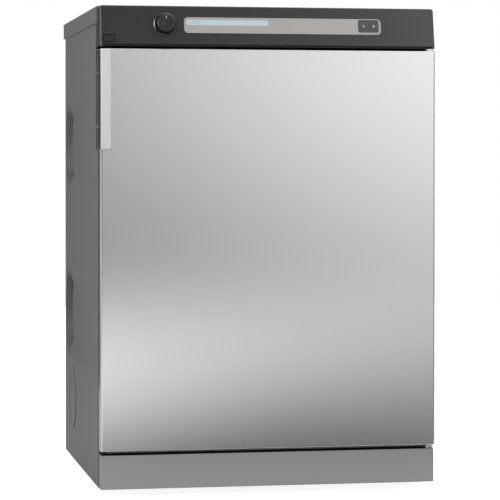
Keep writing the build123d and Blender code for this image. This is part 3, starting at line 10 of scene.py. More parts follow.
import bpy
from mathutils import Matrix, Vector


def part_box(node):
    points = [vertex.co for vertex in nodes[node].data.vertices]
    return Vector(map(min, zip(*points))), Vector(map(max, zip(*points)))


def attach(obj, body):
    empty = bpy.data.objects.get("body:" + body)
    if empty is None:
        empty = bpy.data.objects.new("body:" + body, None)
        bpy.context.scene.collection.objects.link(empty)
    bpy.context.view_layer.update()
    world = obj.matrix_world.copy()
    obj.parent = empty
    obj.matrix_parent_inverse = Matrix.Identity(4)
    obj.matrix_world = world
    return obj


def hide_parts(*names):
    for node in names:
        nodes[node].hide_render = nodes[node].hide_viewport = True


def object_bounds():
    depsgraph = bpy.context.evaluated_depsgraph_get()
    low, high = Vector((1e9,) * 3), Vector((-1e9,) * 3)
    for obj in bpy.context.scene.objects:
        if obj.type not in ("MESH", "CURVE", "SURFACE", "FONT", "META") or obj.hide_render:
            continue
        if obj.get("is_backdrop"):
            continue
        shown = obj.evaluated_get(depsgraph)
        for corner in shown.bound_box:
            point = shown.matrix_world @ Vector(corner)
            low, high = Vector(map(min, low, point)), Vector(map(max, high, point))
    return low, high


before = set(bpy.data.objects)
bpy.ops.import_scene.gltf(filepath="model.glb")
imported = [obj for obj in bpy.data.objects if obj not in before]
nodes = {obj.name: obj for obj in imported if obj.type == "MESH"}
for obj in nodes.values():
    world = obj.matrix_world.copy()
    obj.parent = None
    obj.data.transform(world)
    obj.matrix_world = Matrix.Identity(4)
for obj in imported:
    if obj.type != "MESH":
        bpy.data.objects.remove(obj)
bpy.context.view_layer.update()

# %% [markdown]
# ## Camera
# The photographer stood more than four metres away, a little left of the machine and at two thirds of its
# height. A long lens from far away keeps upright edges nearly parallel. The place was fitted from the
# machine's corners, so it isn't guessed. The vertical shift does what a shift lens does: it slides the
# picture up without tilting the uprights.

# %% Place the camera
camera_data = bpy.data.cameras.new("studio_camera")
camera = bpy.data.objects.new("studio_camera", camera_data)
bpy.context.scene.collection.objects.link(camera)
camera.location = (-0.7613, -4.2352, 0.5791)
camera.rotation_euler = (math.radians(89.5), 0.0, math.radians(-10.459))
camera_data.sensor_width = 36.0
camera_data.lens = 165.3
camera_data.shift_y = -0.1363
bpy.context.scene.camera = camera
door_middle = Vector((0, -0.3, 0.5))
print("camera stands", round((camera.location - door_middle).length, 2), "m from the door")

# %% [markdown]
# ## Helpers for materials
# Colours are written as in any paint program, as sRGB hex values, and Blender wants linear light, so one
# function converts them. Another adds one node with its settings and links.

# %% Colour, node and material


def to_linear(hex_colour):
    """Linear RGBA of an sRGB hex colour."""
    values = [int(hex_colour[i:i + 2], 16) / 255 for i in (1, 3, 5)]
    return [v / 12.92 if v <= 0.04045 else ((v + 0.055) / 1.055) ** 2.4 for v in values] + [1.0]


def add_node(tree, kind, settings, links=None):
    """Add one node. Keys of settings are socket names or numbers, or the node's own properties."""
    node = tree.nodes.new(kind)
    for key, value in settings.items():
        if isinstance(key, str) and hasattr(node, key):
            setattr(node, key, value)
        else:
            node.inputs[key].default_value = value
    for key, source in (links or {}).items():
        tree.links.new(source, node.inputs[key])
    return node


def new_finish(name, hex_colour, roughness, metallic=0.0):
    """New material: its node tree, its Principled shader and the Object coordinates."""
    material = bpy.data.materials.new(name)
    material.use_nodes = True
    tree = material.node_tree
    shader = tree.nodes["Principled BSDF"]
    shader.inputs["Base Color"].default_value = to_linear(hex_colour)
    shader.inputs["Roughness"].default_value = roughness
    shader.inputs["Metallic"].default_value = metallic
    place = tree.nodes.new("ShaderNodeTexCoord").outputs["Object"]
    print("new finish", name)
    return material, tree, shader, place


def dress(material, *names):
    """Give CAD nodes a finish through their material slots."""
    for name in names:
        for slot in nodes[name].material_slots:
            slot.material = material
    print(material.name, "on", ", ".join(names))


print("mid grey #808080 is", round(to_linear("#808080")[0], 3), "in linear light")

# %% [markdown]
# A surface comes to life through a fine pattern, which is made by noise, and can be drawn out in one
# direction. The pattern then drives up to three things: how rough the surface is, how it is embossed, and
# how its colour varies.

# %% Patterns and what they drive


def noise(tree, place, size, detail=2.0, roughness=0.5):
    """Noise with spots of this size in metres."""
    settings = {"Scale": 1 / size, "Detail": detail, "Roughness": roughness}
    return add_node(tree, "ShaderNodeTexNoise", settings, {"Vector": place}).outputs["Fac"]


def draw_out(tree, place, squeeze):
    """Coordinates squeezed along X, Y and Z, which draws a pattern out in the squeezed direction."""
    return add_node(tree, "ShaderNodeMapping", {"Scale": squeeze}, {"Vector": place}).outputs["Vector"]


def spread(tree, pattern, low, high):
    """The pattern's range from 0 to 1, spread from low to high."""
    settings = {"To Min": low, "To Max": high}
    return add_node(tree, "ShaderNodeMapRange", settings, {"Value": pattern}).outputs["Result"]


def roughen(tree, shader, pattern, low, high):
    """Let the roughness follow the pattern from low to high."""
    tree.links.new(spread(tree, pattern, low, high), shader.inputs["Roughness"])


def emboss(tree, shader, pattern, strength, depth):
    """Bump the surface by the pattern, up to depth in metres."""
    relief = add_node(tree, "ShaderNodeBump", {"Strength": strength, "Distance": depth}, {"Height": pattern})
    tree.links.new(relief.outputs["Normal"], shader.inputs["Normal"])


def vary_colour(tree, shader, factor):
    """Multiply the shader's colour by a factor that changes over the surface."""
    own_colour = list(shader.inputs["Base Color"].default_value)
    colour = add_node(tree, "ShaderNodeMix",
                      {"data_type": "RGBA", "blend_type": "MULTIPLY", 0: 1.0, 6: own_colour}, {7: factor})
    tree.links.new(colour.outputs[2], shader.inputs["Base Color"])


# %% [markdown]
# ## Brushed stainless steel, the door
# The door is a sheet of stainless steel, drawn under an abrasive belt from top to bottom. The belt leaves
# upright scratches a few tenths of a millimetre wide. They smear every reflection sideways, which is what
# the Anisotropic value does, and they show as faint upright streaks. The real scratches are finer than one
# pixel, so they are drawn 1.2 mm wide here. The Tangent node round Z gives the sideways direction on every
# upright face.

# %% Brushed stainless steel
steel, tree, shader, place = new_finish("stainless_belt_brushed", "#cececd", 0.22, 1.0)
shader.inputs["Anisotropic"].default_value = 0.6
tangent = add_node(tree, "ShaderNodeTangent", {"direction_type": "RADIAL", "axis": "Z"})
tree.links.new(tangent.outputs["Tangent"], shader.inputs["Tangent"])
SCRATCH = 0.0012
SCRATCH_LENGTH = 0.09
streaks = noise(tree, draw_out(tree, place, (1, 1, SCRATCH / SCRATCH_LENGTH)), SCRATCH,
                detail=3.0, roughness=0.65)
vary_colour(tree, shader, spread(tree, streaks, 0.95, 1.045))
roughen(tree, shader, streaks, 0.2, 0.25)
emboss(tree, shader, streaks, strength=0.03, depth=0.0001)
dress(steel, "door_outer_panel")

# %% [markdown]
# ## Powder-coated sheet steel, the cabinet
# Powder paint flows out into a skin with a slight orange peel: shallow waves about 2 mm across. A noise
# bump of that size breaks the highlights just enough to say paint and not plastic. A second, broad noise
# makes the tone drift a little over a large panel, as real panels do.

# %% Powder coat
paint, tree, shader, place = new_finish("powder_coat_graphite", "#797979", 0.55)
ORANGE_PEEL = 0.002
TONE_DRIFT = 0.35
drift = noise(tree, place, TONE_DRIFT, detail=1.0)
vary_colour(tree, shader, spread(tree, drift, 0.96, 1.04))
emboss(tree, shader, noise(tree, place, ORANGE_PEEL), strength=0.08, depth=0.0002)
dress(paint, "vent_covers", "top_lid")

# %% [markdown]
# The side panels take the same paint. On the steep rear wall of each pressed field, which faces forward,
# shade is painted in: the colour there is made about half as bright, as a dark lens. The surface normal
# picks those walls out.

# %% Paint of the pressed side panels, with painted shade on the field walls
pressed = paint.copy()
pressed.name = "powder_coat_pressed_sides_painted_shade"
tree = pressed.node_tree
shader = tree.nodes["Principled BSDF"]
paint_tone = shader.inputs["Base Color"].links[0].from_socket
# Painted shade: forward-facing walls get the paint colour multiplied down to this share
WALL_PAINTED_SHADE = 0.56
turned = tree.nodes.new("ShaderNodeTexCoord").outputs["Normal"]
forward_facing = add_node(tree, "ShaderNodeVectorMath", {"operation": "DOT_PRODUCT", 1: (0, -1, 0)},
                          {0: turned})
painted_wall_shade = add_node(tree, "ShaderNodeMapRange", {"interpolation_type": "SMOOTHSTEP", "From Min": 0.3,
                                              "From Max": 0.7, "To Min": 1.0, "To Max": WALL_PAINTED_SHADE},
                 {"Value": forward_facing.outputs["Value"]})
colour = add_node(tree, "ShaderNodeMix", {"data_type": "RGBA", "blend_type": "MULTIPLY", 0: 1.0},
                  {6: paint_tone, 7: painted_wall_shade.outputs["Result"]})
tree.links.new(colour.outputs[2], shader.inputs["Base Color"])
dress(pressed, "left_side_panel", "right_side_panel")

# %% [markdown]
# ## Kick plate
# The kick plate is steel with a fine brushed and lacquered face. It looks a shade paler than the paint of
# the sides and takes a soft sheen along its folded top edge. Half a metal's reflection gives that sheen:
# a full metal would mirror the floor, and plain paint would stay flat.

# %% Kick plate
kick, tree, shader, place = new_finish("kick_plate_lacquered_steel", "#a2a2a2", 0.42, 0.55)
streaks = noise(tree, draw_out(tree, place, (1, 1, 0.03)), 0.002)
roughen(tree, shader, streaks, 0.38, 0.48)
dress(kick, "plinth_panel")

# %% [markdown]
# ## Moulded plastics
# The fascia is ABS, moulded against a lightly sparked tool, so it is satin: dark, with a soft broad
# highlight. The spark grain is about 0.3 mm, finer than a pixel, and is drawn at 1.2 mm as a weak bump.

# %% Fascia plastic
SPARK_GRAIN = 0.0012
fascia, tree, shader, place = new_finish("abs_charcoal_satin", "#2e2e2f", 0.31)
grain = noise(tree, place, SPARK_GRAIN, detail=1.0)
emboss(tree, shader, grain, strength=0.05, depth=0.0001)
roughen(tree, shader, grain, 0.28, 0.34)
dress(fascia, "control_fascia")

# %% Plastic of the keys
keys, tree, shader, place = new_finish("abs_key_grey", "#4a4a4b", 0.45)
emboss(tree, shader, noise(tree, place, 0.0008, detail=1.0), strength=0.05, depth=0.0001)
dress(keys, "start_key", "stop_key")

# %% Plastic of the knob and the power switch
knob_black, tree, shader, place = new_finish("abs_black_semi_gloss", "#262627", 0.3)
roughen(tree, shader, noise(tree, place, SPARK_GRAIN, detail=1.0), 0.26, 0.34)
dress(knob_black, "programme_knob", "power_switch")

# %% [markdown]
# The grip's body, the finger recess and the ducts and housings inside are polypropylene. It is softer than
# ABS and takes a coarser moulded texture, about 1.5 mm, so it is duller and its bump is stronger.

# %% Dark structural plastic
black, tree, shader, place = new_finish("polypropylene_black", "#1d1d1e", 0.5)
emboss(tree, shader, noise(tree, place, 0.0015), strength=0.12, depth=0.0002)
dress(black, "door_grip", "fan_housing", "fan_wheel", "filter_duct", "exhaust_elbow",
      "mains_inlet", "power_body", "door_catch", "switch_plunger")

# %% Grey plastic of the finger recess
recess, tree, shader, place = new_finish("polypropylene_slate", "#6c6c6e", 0.5)
emboss(tree, shader, noise(tree, place, 0.0015), strength=0.12, depth=0.0002)
dress(recess, "grip_recess")

# %% [markdown]
# The strip over the display is acrylic with a warm grey print behind it, so it is smooth and needs no bump.
# The display is a liquid crystal cell under a clear front. It is glossier still, and a faint unevenness of
# its cells keeps it from looking like blue paint.

# %% Display strip and frame
strip, tree, shader, place = new_finish("acrylic_warm_grey", "#bdb8b4", 0.25)
roughen(tree, shader, noise(tree, place, 0.03, detail=1.0), 0.24, 0.26)
dress(strip, "display_strip", "key_frame")

# %% Display
screen, tree, shader, place = new_finish("liquid_crystal_pale_blue", "#d5e6ef", 0.12)
cells = noise(tree, place, 0.004, detail=1.0)
vary_colour(tree, shader, spread(tree, cells, 0.97, 1.03))
dress(screen, "display_screen")

# %% [markdown]
# ## Satin anodised aluminium, the grip
# The strip on the door's edge is aluminium that was brushed along its length and then anodised. The oxide
# layer softens the metal, so it is rougher than the door and paler.

# %% Grip strip
anodised, tree, shader, place = new_finish("aluminium_satin_anodised", "#dcdcdc", 0.45, 1.0)
shader.inputs["Anisotropic"].default_value = 0.3
streaks = noise(tree, draw_out(tree, place, (1, 1, 0.04)), 0.0015)
roughen(tree, shader, streaks, 0.42, 0.5)
dress(anodised, "grip_strip")

# %% [markdown]
# ## Metals that the photograph hides
# Inside and behind, the machine is made of plainer metals. Zinc-coated sheet shows soft crystal patches,
# the drum is rolled stainless, turned parts are plated bright, and castings stay rough.

# %% Zinc-coated sheet
CRYSTAL = 0.012
zinc, tree, shader, place = new_finish("zinc_coated_sheet", "#b4b7b9", 0.42, 1.0)
crystals = add_node(tree, "ShaderNodeTexVoronoi", {"Scale": 1 / CRYSTAL, "Randomness": 1.0},
                    {"Vector": place})
vary_colour(tree, shader, spread(tree, crystals.outputs["Color"], 0.88, 1.05))
dress(zinc, "rear_panel", "base_tray", "front_rail", "heater_pan", "exhaust_pipe", "drive_brackets")

# %% Drum steel
drum, tree, shader, place = new_finish("drum_stainless_rolled", "#c4c5c6", 0.3, 1.0)
streaks = noise(tree, draw_out(tree, place, (1, 0.04, 1)), 0.003)
roughen(tree, shader, streaks, 0.26, 0.36)
dress(drum, "drum_shell", "drum_back", "drum_lifters", "moisture_strips")

# %% Plated steel
plated, tree, shader, place = new_finish("steel_zinc_plated_bright", "#cfcfcd", 0.24, 1.0)
roughen(tree, shader, noise(tree, place, 0.006, detail=3.0), 0.2, 0.36)
dress(plated, "cabinet_screws", "hinges", "magnet_plate", "foot_nuts", "drum_shaft", "drum_bearing",
      "motor_shaft", "motor_pulley", "tension_arm", "heater_elements")

# %% Casting
casting, tree, shader, place = new_finish("aluminium_die_cast", "#8d8f92", 0.55, 0.8)
emboss(tree, shader, noise(tree, place, 0.0015, detail=3.0), strength=0.3, depth=0.0003)
dress(casting, "bearing_housing")

# %% Motor enamel
enamel, tree, shader, place = new_finish("motor_stoved_enamel", "#3b3b3d", 0.4)
emboss(tree, shader, noise(tree, place, 0.0025), strength=0.15, depth=0.0003)
dress(enamel, "motor")

# %% [markdown]
# ## Enamel, pale plastics, rubber and felt behind the door
# Opening the door shows the white side of the machine: an enamelled front with a round opening, the
# moulded inner door with its lint filter, and the dark rubber ring that seals them.

# %% White enamel and white plastic
white_enamel, tree, shader, place = new_finish("front_enamel_white", "#cfd1d2", 0.3)
emboss(tree, shader, noise(tree, place, 0.003), strength=0.06, depth=0.0002)
dress(white_enamel, "front_panel")

white_plastic, tree, shader, place = new_finish("polypropylene_white", "#cccdce", 0.42)
emboss(tree, shader, noise(tree, place, 0.0015), strength=0.08, depth=0.0002)
dress(white_plastic, "door_inner_panel", "lint_filter_frame")

# %% Rubber
rubber, tree, shader, place = new_finish("rubber_moulded_black", "#161616", 0.7)
roughen(tree, shader, noise(tree, place, 0.01, detail=3.0), 0.6, 0.8)
dress(rubber, "door_seal", "drive_belt", "levelling_feet")

# %% Felt
felt, tree, shader, place = new_finish("wool_felt_grey", "#8b8a86", 0.95)
shader.inputs["Sheen Weight"].default_value = 0.4
fibres = noise(tree, place, 0.0012, detail=5.0, roughness=0.7)
emboss(tree, shader, fibres, strength=0.6, depth=0.0005)
dress(felt, "drum_felts")

# %% [markdown]
# The filter's weave is 0.3 mm and is drawn at 2 mm, so that it shows. A cell pattern with no randomness is
# a grid: its distance is least in the middle of each cell, where the mesh is brightest.

# %% Filter mesh
WEAVE = 0.002
mesh, tree, shader, place = new_finish("filter_mesh_woven", "#aeb1b5", 0.8)
weave = add_node(tree, "ShaderNodeTexVoronoi", {"Scale": 1 / WEAVE, "Randomness": 0.0}, {"Vector": place})
tone = add_node(tree, "ShaderNodeMapRange", {"From Max": 0.6, "To Min": 1.1, "To Max": 0.5},
                {"Value": weave.outputs["Distance"]})
vary_colour(tree, shader, tone.outputs["Result"])
dress(mesh, "lint_filter_mesh")

# %% [markdown]
# Three small finishes are left. Nylon lets a little light in, so it gets some light under its surface. The
# circuit board is green lacquer over tracks, and cells measured in square steps give their outlines. The
# lamp's lens is frosted glass, which lets light through and blurs it.

# %% Nylon, circuit board and lamp lens
nylon, tree, shader, place = new_finish("nylon_natural", "#d8d5cc", 0.4)
shader.inputs["Subsurface Weight"].default_value = 0.1
roughen(tree, shader, noise(tree, place, 0.002), 0.35, 0.5)
dress(nylon, "hinge_bushes", "idler_pulley")

board, tree, shader, place = new_finish("circuit_board_green", "#1f5a34", 0.35)
tracks = add_node(tree, "ShaderNodeTexVoronoi", {"Scale": 1 / 0.004, "distance": "MANHATTAN"},
                  {"Vector": place})
vary_colour(tree, shader, spread(tree, tracks.outputs["Distance"], 0.7, 1.2))
dress(board, "control_board")

lens, tree, shader, place = new_finish("glass_frosted", "#f2f2ee", 0.35)
shader.inputs["Transmission Weight"].default_value = 0.7
emboss(tree, shader, noise(tree, place, 0.001), strength=0.3, depth=0.0002)
dress(lens, "drum_lamp")

# %% [markdown]
# ## Small things on the fascia
# The fascia leans back by 11 degrees, so its small pieces are modelled flat on the ground, where width and
# height are plain X and Y, and are then tipped up onto the fascia. front_of measures how far a CAD part
# stands in front of the fascia, so that each piece sits on what carries it.

# %% Places on the leaning fascia
LEAN = math.radians(11.0)
# Where the face starts at its lower edge: its place along Y and its height
FACE_DEPTH, FACE_LOW = -0.3019, 0.779
# A part's front is everything within this depth of its foremost point
FRONT_LAYER = 0.0006


def on_fascia(x, z, out):
    """Point at x across and at height z on the leaning face, moved straight out of it."""
    depth = FACE_DEPTH + (z - FACE_LOW) * math.tan(LEAN)
    return (x, depth - out * math.cos(LEAN), z + out * math.sin(LEAN))


def forward(point):
    """How far a point stands in front of the fascia's face."""
    return (FACE_DEPTH - point.y) * math.cos(LEAN) + (point.z - FACE_LOW) * math.sin(LEAN)


def front_of(name):
    """Middle of a CAD part's front: x across, height z on the face, and how far out it stands."""
    points = [v.co for v in nodes[name].data.vertices]
    out = max(forward(point) for point in points)
    front = [point for point in points if forward(point) > out - FRONT_LAYER]
    across = [point.x for point in front]
    height = [point.z for point in front]
    middle = (min(height) + max(height)) / 2 - out * math.sin(LEAN)
    return (min(across) + max(across)) / 2, middle, out


print("knob stands", round(front_of("programme_knob")[2] * 1000, 1), "mm out of the fascia")

# %% [markdown]
# Most pieces are flat: a face is drawn on the ground, thickened, and tipped up.

# %% Shape flat pieces and tip them up


def close_mesh():
    """Turn all faces outwards and leave edit mode."""
    bpy.ops.mesh.select_all(action="SELECT")
    bpy.ops.mesh.normals_make_consistent(inside=False)
    bpy.ops.object.mode_set(mode="OBJECT")


def thicken(thick, wall=None):
    """In edit mode, make a flat face solid. With a wall it is a frame, open in the middle."""
    if wall:
        bpy.ops.mesh.inset(thickness=wall)
        bpy.ops.mesh.delete(type="FACE")
        bpy.ops.mesh.select_all(action="SELECT")
    bpy.ops.mesh.extrude_region_move(TRANSFORM_OT_translate={"value": (0, 0, thick)})
    close_mesh()


def flat_slab(width, height, corner, thick, wall=None):
    """Flat slab or frame with rounded corners on the ground."""
    bpy.ops.mesh.primitive_plane_add(size=1.0, location=(0, 0, 0))
    slab = bpy.context.object
    bpy.ops.object.mode_set(mode="EDIT")
    bpy.ops.transform.resize(value=(width, height, 1))
    bpy.ops.mesh.bevel(offset=corner, segments=4, affect="VERTICES")
    thicken(thick, wall)
    return slab


def tip_up(piece, name, place, body, material):
    """Name a flat piece, tip it up at its place and say what it moves with and is made of."""
    piece.name = name
    piece.rotation_euler = (math.pi / 2 - LEAN, 0, 0)
    piece.location = place
    bpy.ops.object.transform_apply(location=True, rotation=True, scale=True)
    piece.data.materials.append(material)
    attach(piece, body)
    print(name, "stands at", [round(c, 4) for c in place], "with", len(piece.data.polygons), "faces")


# transform_apply works on whatever is selected, so nothing of the frame may be
bpy.ops.object.select_all(action="DESELECT")

# %% [markdown]
# ### Power switch frame
# The rocker of the power switch sits in a narrow black frame, which paints the shade of the gap round it as
# a dark outline.

# %% Deep black plastic for painted shade
# This black paints shade: the switch frame, the ring round the knob and the edge under the fascia carry it
shade_black, tree, shader, place = new_finish("polycarbonate_black_painted_shade", "#070707", 0.6)
shader.inputs["Specular IOR Level"].default_value = 0.2
emboss(tree, shader, noise(tree, place, 0.001), strength=0.1, depth=0.0001)

# %% Power switch frame of painted shade
x, z, _ = front_of("power_switch")
# Painted shade: a black frame where the gap round the rocker is in shade
switch_shade_frame = flat_slab(width=0.0216, height=0.0140, corner=0.0014, thick=0.0005, wall=0.00175)
tip_up(switch_shade_frame, "power_switch_shade_frame", on_fascia(x, z, 0.0), "cabinet", shade_black)

# %% [markdown]
# ### Marks on the keys
# The start key carries a triangle and the stop key a square, printed in pale ink a tenth of a millimetre
# thick. A thin pad print has slightly uneven cover, so its colour varies a little.

# %% Printing ink
ink, tree, shader, place = new_finish("pad_print_pale_grey", "#c9c9c7", 0.55)
cover = noise(tree, place, 0.0006)
vary_colour(tree, shader, spread(tree, cover, 0.88, 1.05))

# %% Key marks
INK_THICKNESS = 0.0001
MARK_CORNER = 0.0003
bpy.ops.mesh.primitive_circle_add(vertices=3, radius=0.0026, fill_type="NGON", location=(0, 0, 0),
                                  rotation=(0, 0, math.radians(-90)))
triangle = bpy.context.object
bpy.ops.object.mode_set(mode="EDIT")
bpy.ops.mesh.bevel(offset=MARK_CORNER, segments=3, affect="VERTICES")
thicken(INK_THICKNESS)
bpy.ops.object.transform_apply(location=False, rotation=True, scale=False)
tip_up(triangle, "start_mark", on_fascia(*front_of("start_key")), "start", ink)

square = flat_slab(width=0.0036, height=0.0036, corner=MARK_CORNER, thick=INK_THICKNESS)
tip_up(square, "stop_mark", on_fascia(*front_of("stop_key")), "stop", ink)

# %% [markdown]
# ### Knob
# The knob's face carries a short pale index line, printed with the same ink. Round its foot stands a
# black annulus of painted shade for the dark well under the knob, and round that a polished collar with a
# coned face, which stands for the plain CAD one.
# The cone leans outwards, so its left side catches the light at the left as a bright crescent.

# %% Index line of the knob
INDEX_REACH = 0.0100
index_line = flat_slab(width=0.0016, height=0.0050, corner=0.0007, thick=INK_THICKNESS)
bpy.ops.object.mode_set(mode="EDIT")
bpy.ops.transform.translate(value=(0, INDEX_REACH, 0))
bpy.ops.object.mode_set(mode="OBJECT")
tip_up(index_line, "knob_index_line", on_fascia(*front_of("programme_knob")), "knob", ink)

# %% Painted shade round the knob
TURNED_STEPS = 96
x, z, _ = front_of("programme_knob")
knob_foot = on_fascia(x, z, 0.0)
# Painted shade: a black annulus where the well round the knob's foot is in shade
bpy.ops.mesh.primitive_circle_add(vertices=TURNED_STEPS, radius=0.0184, fill_type="NGON",
                                  location=(0, 0, 0))
shade_ring = bpy.context.object
bpy.ops.object.mode_set(mode="EDIT")
thicken(0.0012, wall=0.0021)
tip_up(shade_ring, "knob_painted_shade_ring", knob_foot, "cabinet", shade_black)

# %% Coned collar
polished, tree, shader, place = new_finish("collar_dark_chrome", "#505052", 0.26, 1.0)
roughen(tree, shader, noise(tree, place, 0.002, detail=1.0), 0.22, 0.3)
# Half section of the collar: distance from the knob's axis and height over the fascia, in metres
SECTION = ((0.0182, 0.0), (0.0182, 0.0024), (0.0186, 0.0026), (0.0191, 0.0025), (0.0206, 0.0017),
           (0.0210, 0.0012), (0.0210, 0.0))
bpy.ops.mesh.primitive_circle_add(vertices=len(SECTION), radius=0.001, location=(0, 0, 0))
collar = bpy.context.object
for vertex, (reach, height) in zip(collar.data.vertices, SECTION):
    vertex.co = (reach, 0, height)
bpy.ops.object.mode_set(mode="EDIT")
bpy.ops.mesh.select_all(action="SELECT")
bpy.ops.mesh.spin(steps=TURNED_STEPS, angle=2 * math.pi, center=(0, 0, 0), axis=(0, 0, 1))
bpy.ops.mesh.select_all(action="SELECT")
bpy.ops.mesh.remove_doubles(threshold=0.00001)
close_mesh()
tip_up(collar, "knob_collar_coned", knob_foot, "cabinet", polished)
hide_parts("knob_collar")

# %% [markdown]
# ### Lip under the fascia
# A thin black edge strip along the fascia's lower edge paints the shade there. It deepens the dark line
# between fascia and door.

# %% Painted shade under the fascia
SHADE_LIP_MIDDLE = FACE_LOW + 0.0021
# Painted shade: a black strip along the fascia's shaded lower edge
shade_lip = flat_slab(width=0.586, height=0.0034, corner=0.0004, thick=0.0003)
tip_up(shade_lip, "fascia_painted_shade_lip", on_fascia(0, SHADE_LIP_MIDDLE, 0.0), "cabinet", shade_black)

# %% [markdown]
# ### Strip of painted shade on the kick plate
# A black open-cell strip lies on the kick plate's top, set back from its front edge. It is painted shade:
# it makes the gap under the door read as a dark line.

# %% Black open-cell material for painted shade
shade_foam, tree, shader, place = new_finish("foam_black_painted_shade", "#0c0c0c", 0.9)
shader.inputs["Specular IOR Level"].default_value = 0.2
pores = add_node(tree, "ShaderNodeTexVoronoi", {"Scale": 1 / 0.0015}, {"Vector": place})
emboss(tree, shader, pores.outputs["Distance"], strength=0.4, depth=0.0004)

# %% Strip of painted shade on the kick plate
SET_BACK = 0.0035
END_GAP, REAR_GAP = 0.002, 0.001
low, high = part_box("plinth_panel")
strip_left, strip_right = low[0] + END_GAP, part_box("hinges")[0][0] - END_GAP
strip_depth = high[1] - low[1] - SET_BACK - REAR_GAP
# Painted shade: a black strip where the gap under the door is in shade
painted_shade_strip = flat_slab(strip_right - strip_left, strip_depth, corner=0.001, thick=0.0012)
painted_shade_strip.name = "kick_plate_painted_shade_strip"
painted_shade_strip.location = ((strip_left + strip_right) / 2, low[1] + SET_BACK + strip_depth / 2, high[2])
bpy.ops.object.transform_apply(location=True, rotation=True, scale=True)
painted_shade_strip.data.materials.append(shade_foam)
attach(painted_shade_strip, "cabinet")
print("foam strip", round(strip_right - strip_left, 3), "m long")

# %% [markdown]
# ### Figures on the display
# The display shows a plain time in seven-bar figures. One bar is modelled, with pointed ends as on a real
# display, and copied for every bar that is on.

# %% Dark cells of the display
shade, tree, shader, place = new_finish("liquid_crystal_dark_cells", "#93adbd", 0.3)
roughen(tree, shader, noise(tree, place, 0.0005, detail=1.0), 0.25, 0.35)

# %% Bars of the figures
BAR, BAR_WIDTH, FIGURE_STEP = 0.0024, 0.0005, 0.0042
# Half a bar, and an eighth more for the gap between bars
HALF_STEP = BAR / 2 * 1.12
bar = flat_slab(BAR, BAR_WIDTH, corner=BAR_WIDTH * 0.45, thick=0.00005)
# Middle of each bar in half steps across and up, and whether it stands upright
PLACES = {"top": (0, 2, False), "middle": (0, 0, False), "bottom": (0, -2, False),
          "upper left": (-1, 1, True), "upper right": (1, 1, True),
          "lower left": (-1, -1, True), "lower right": (1, -1, True)}
OFF = {"1": ("top", "middle", "bottom", "upper left", "lower left"), "4": ("top", "bottom", "lower left"),
       "5": ("upper right", "lower left"), "0": ("middle",)}
copies = []
for step, figure in enumerate("1450"):
    for label, (across, up, upright) in PLACES.items():
        if label in OFF[figure]:
            continue
        copy = bar.copy()
        copy.data = bar.data.copy()
        bpy.context.scene.collection.objects.link(copy)
        copy.location = (step * FIGURE_STEP + across * HALF_STEP, up * HALF_STEP, 0)
        copy.rotation_euler = (0, 0, math.pi / 2 if upright else 0)
        copies.append(copy)
bpy.data.objects.remove(bar)
print(len(copies), "bars are on")

# %% Join the figures and stand them on the display
FIGURES_INSET = 0.009
bpy.ops.object.select_all(action="DESELECT")
for copy in copies:
    copy.select_set(True)
bpy.context.view_layer.objects.active = copies[0]
bpy.ops.object.transform_apply(location=True, rotation=True, scale=True)
bpy.ops.object.join()
_, z, out = front_of("display_screen")
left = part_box("display_screen")[0][0]
figures_place = on_fascia(left + FIGURES_INSET, z, out)
tip_up(copies[0], "display_figures", figures_place, "cabinet", shade)

# %% [markdown]
# ## Studio
# The picture is a cut-out on white. The floor is a pale sheet that also glows to the camera, so it comes
# out white and keeps a trace of the machine's shadow. Beyond it the world is white to the camera. In
# reflections the world is white behind the machine and grey in front, where a real studio is dark. Light
# Path tells these kinds of ray apart, and all other rays get one plain level of light.

# %% World
FRONT_GREY, ROOM_LIGHT = 0.32, 0.62
world = bpy.data.worlds.new("studio")
bpy.context.scene.world = world
world.use_nodes = True
tree = world.node_tree
tree.nodes.clear()
towards = add_node(tree, "ShaderNodeTexCoord", {})
facing = add_node(tree, "ShaderNodeVectorMath", {"operation": "DOT_PRODUCT", 1: (-0.1, 0.95, 0)},
                  {0: towards.outputs["Generated"]})
behind = add_node(tree, "ShaderNodeMapRange", {"interpolation_type": "SMOOTHSTEP", "From Min": -0.1,
                                               "From Max": 0.6, "To Min": FRONT_GREY, "To Max": 1.0},
                  {"Value": facing.outputs["Value"]})
path = add_node(tree, "ShaderNodeLightPath", {})
shiny = add_node(tree, "ShaderNodeMath", {"operation": "MAXIMUM"},
                 {0: path.outputs["Is Glossy Ray"], 1: path.outputs["Is Transmission Ray"]})
reflected = add_node(tree, "ShaderNodeMix", {"data_type": "FLOAT", 2: ROOM_LIGHT},
                     {0: shiny.outputs["Value"], 3: behind.outputs["Result"]})
seen = add_node(tree, "ShaderNodeMix", {"data_type": "FLOAT", 3: 1.0},
                {0: path.outputs["Is Camera Ray"], 2: reflected.outputs[0]})
sky = add_node(tree, "ShaderNodeBackground", {"Color": (1, 1, 1, 1)}, {"Strength": seen.outputs[0]})
tree.links.new(sky.outputs["Background"], add_node(tree, "ShaderNodeOutputWorld", {}).inputs["Surface"])
print("world lights at", ROOM_LIGHT, "and is", FRONT_GREY, "in front for reflections")

# %% Floor
FLOOR_GLOW = 0.9
bpy.ops.mesh.primitive_plane_add(size=1.0, location=(0, 2.2, -0.0005))
floor = bpy.context.object
floor.name = "floor"
floor.scale = (8.0, 5.4, 1.0)
floor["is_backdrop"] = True
sheet, tree, shader, _ = new_finish("floor_paper_white", "#f0f0f0", 0.9)
path = add_node(tree, "ShaderNodeLightPath", {})
lift = add_node(tree, "ShaderNodeMath", {"operation": "MULTIPLY", 1: FLOOR_GLOW},
                {0: path.outputs["Is Camera Ray"]})
shader.inputs["Emission Color"].default_value = (1, 1, 1, 1)
tree.links.new(lift.outputs["Value"], shader.inputs["Emission Strength"])
floor.data.materials.append(sheet)

# %% [markdown]
# ## Light
# A soft box high on the left lights the side panel, and one above lights the lid.

# %% Lamps


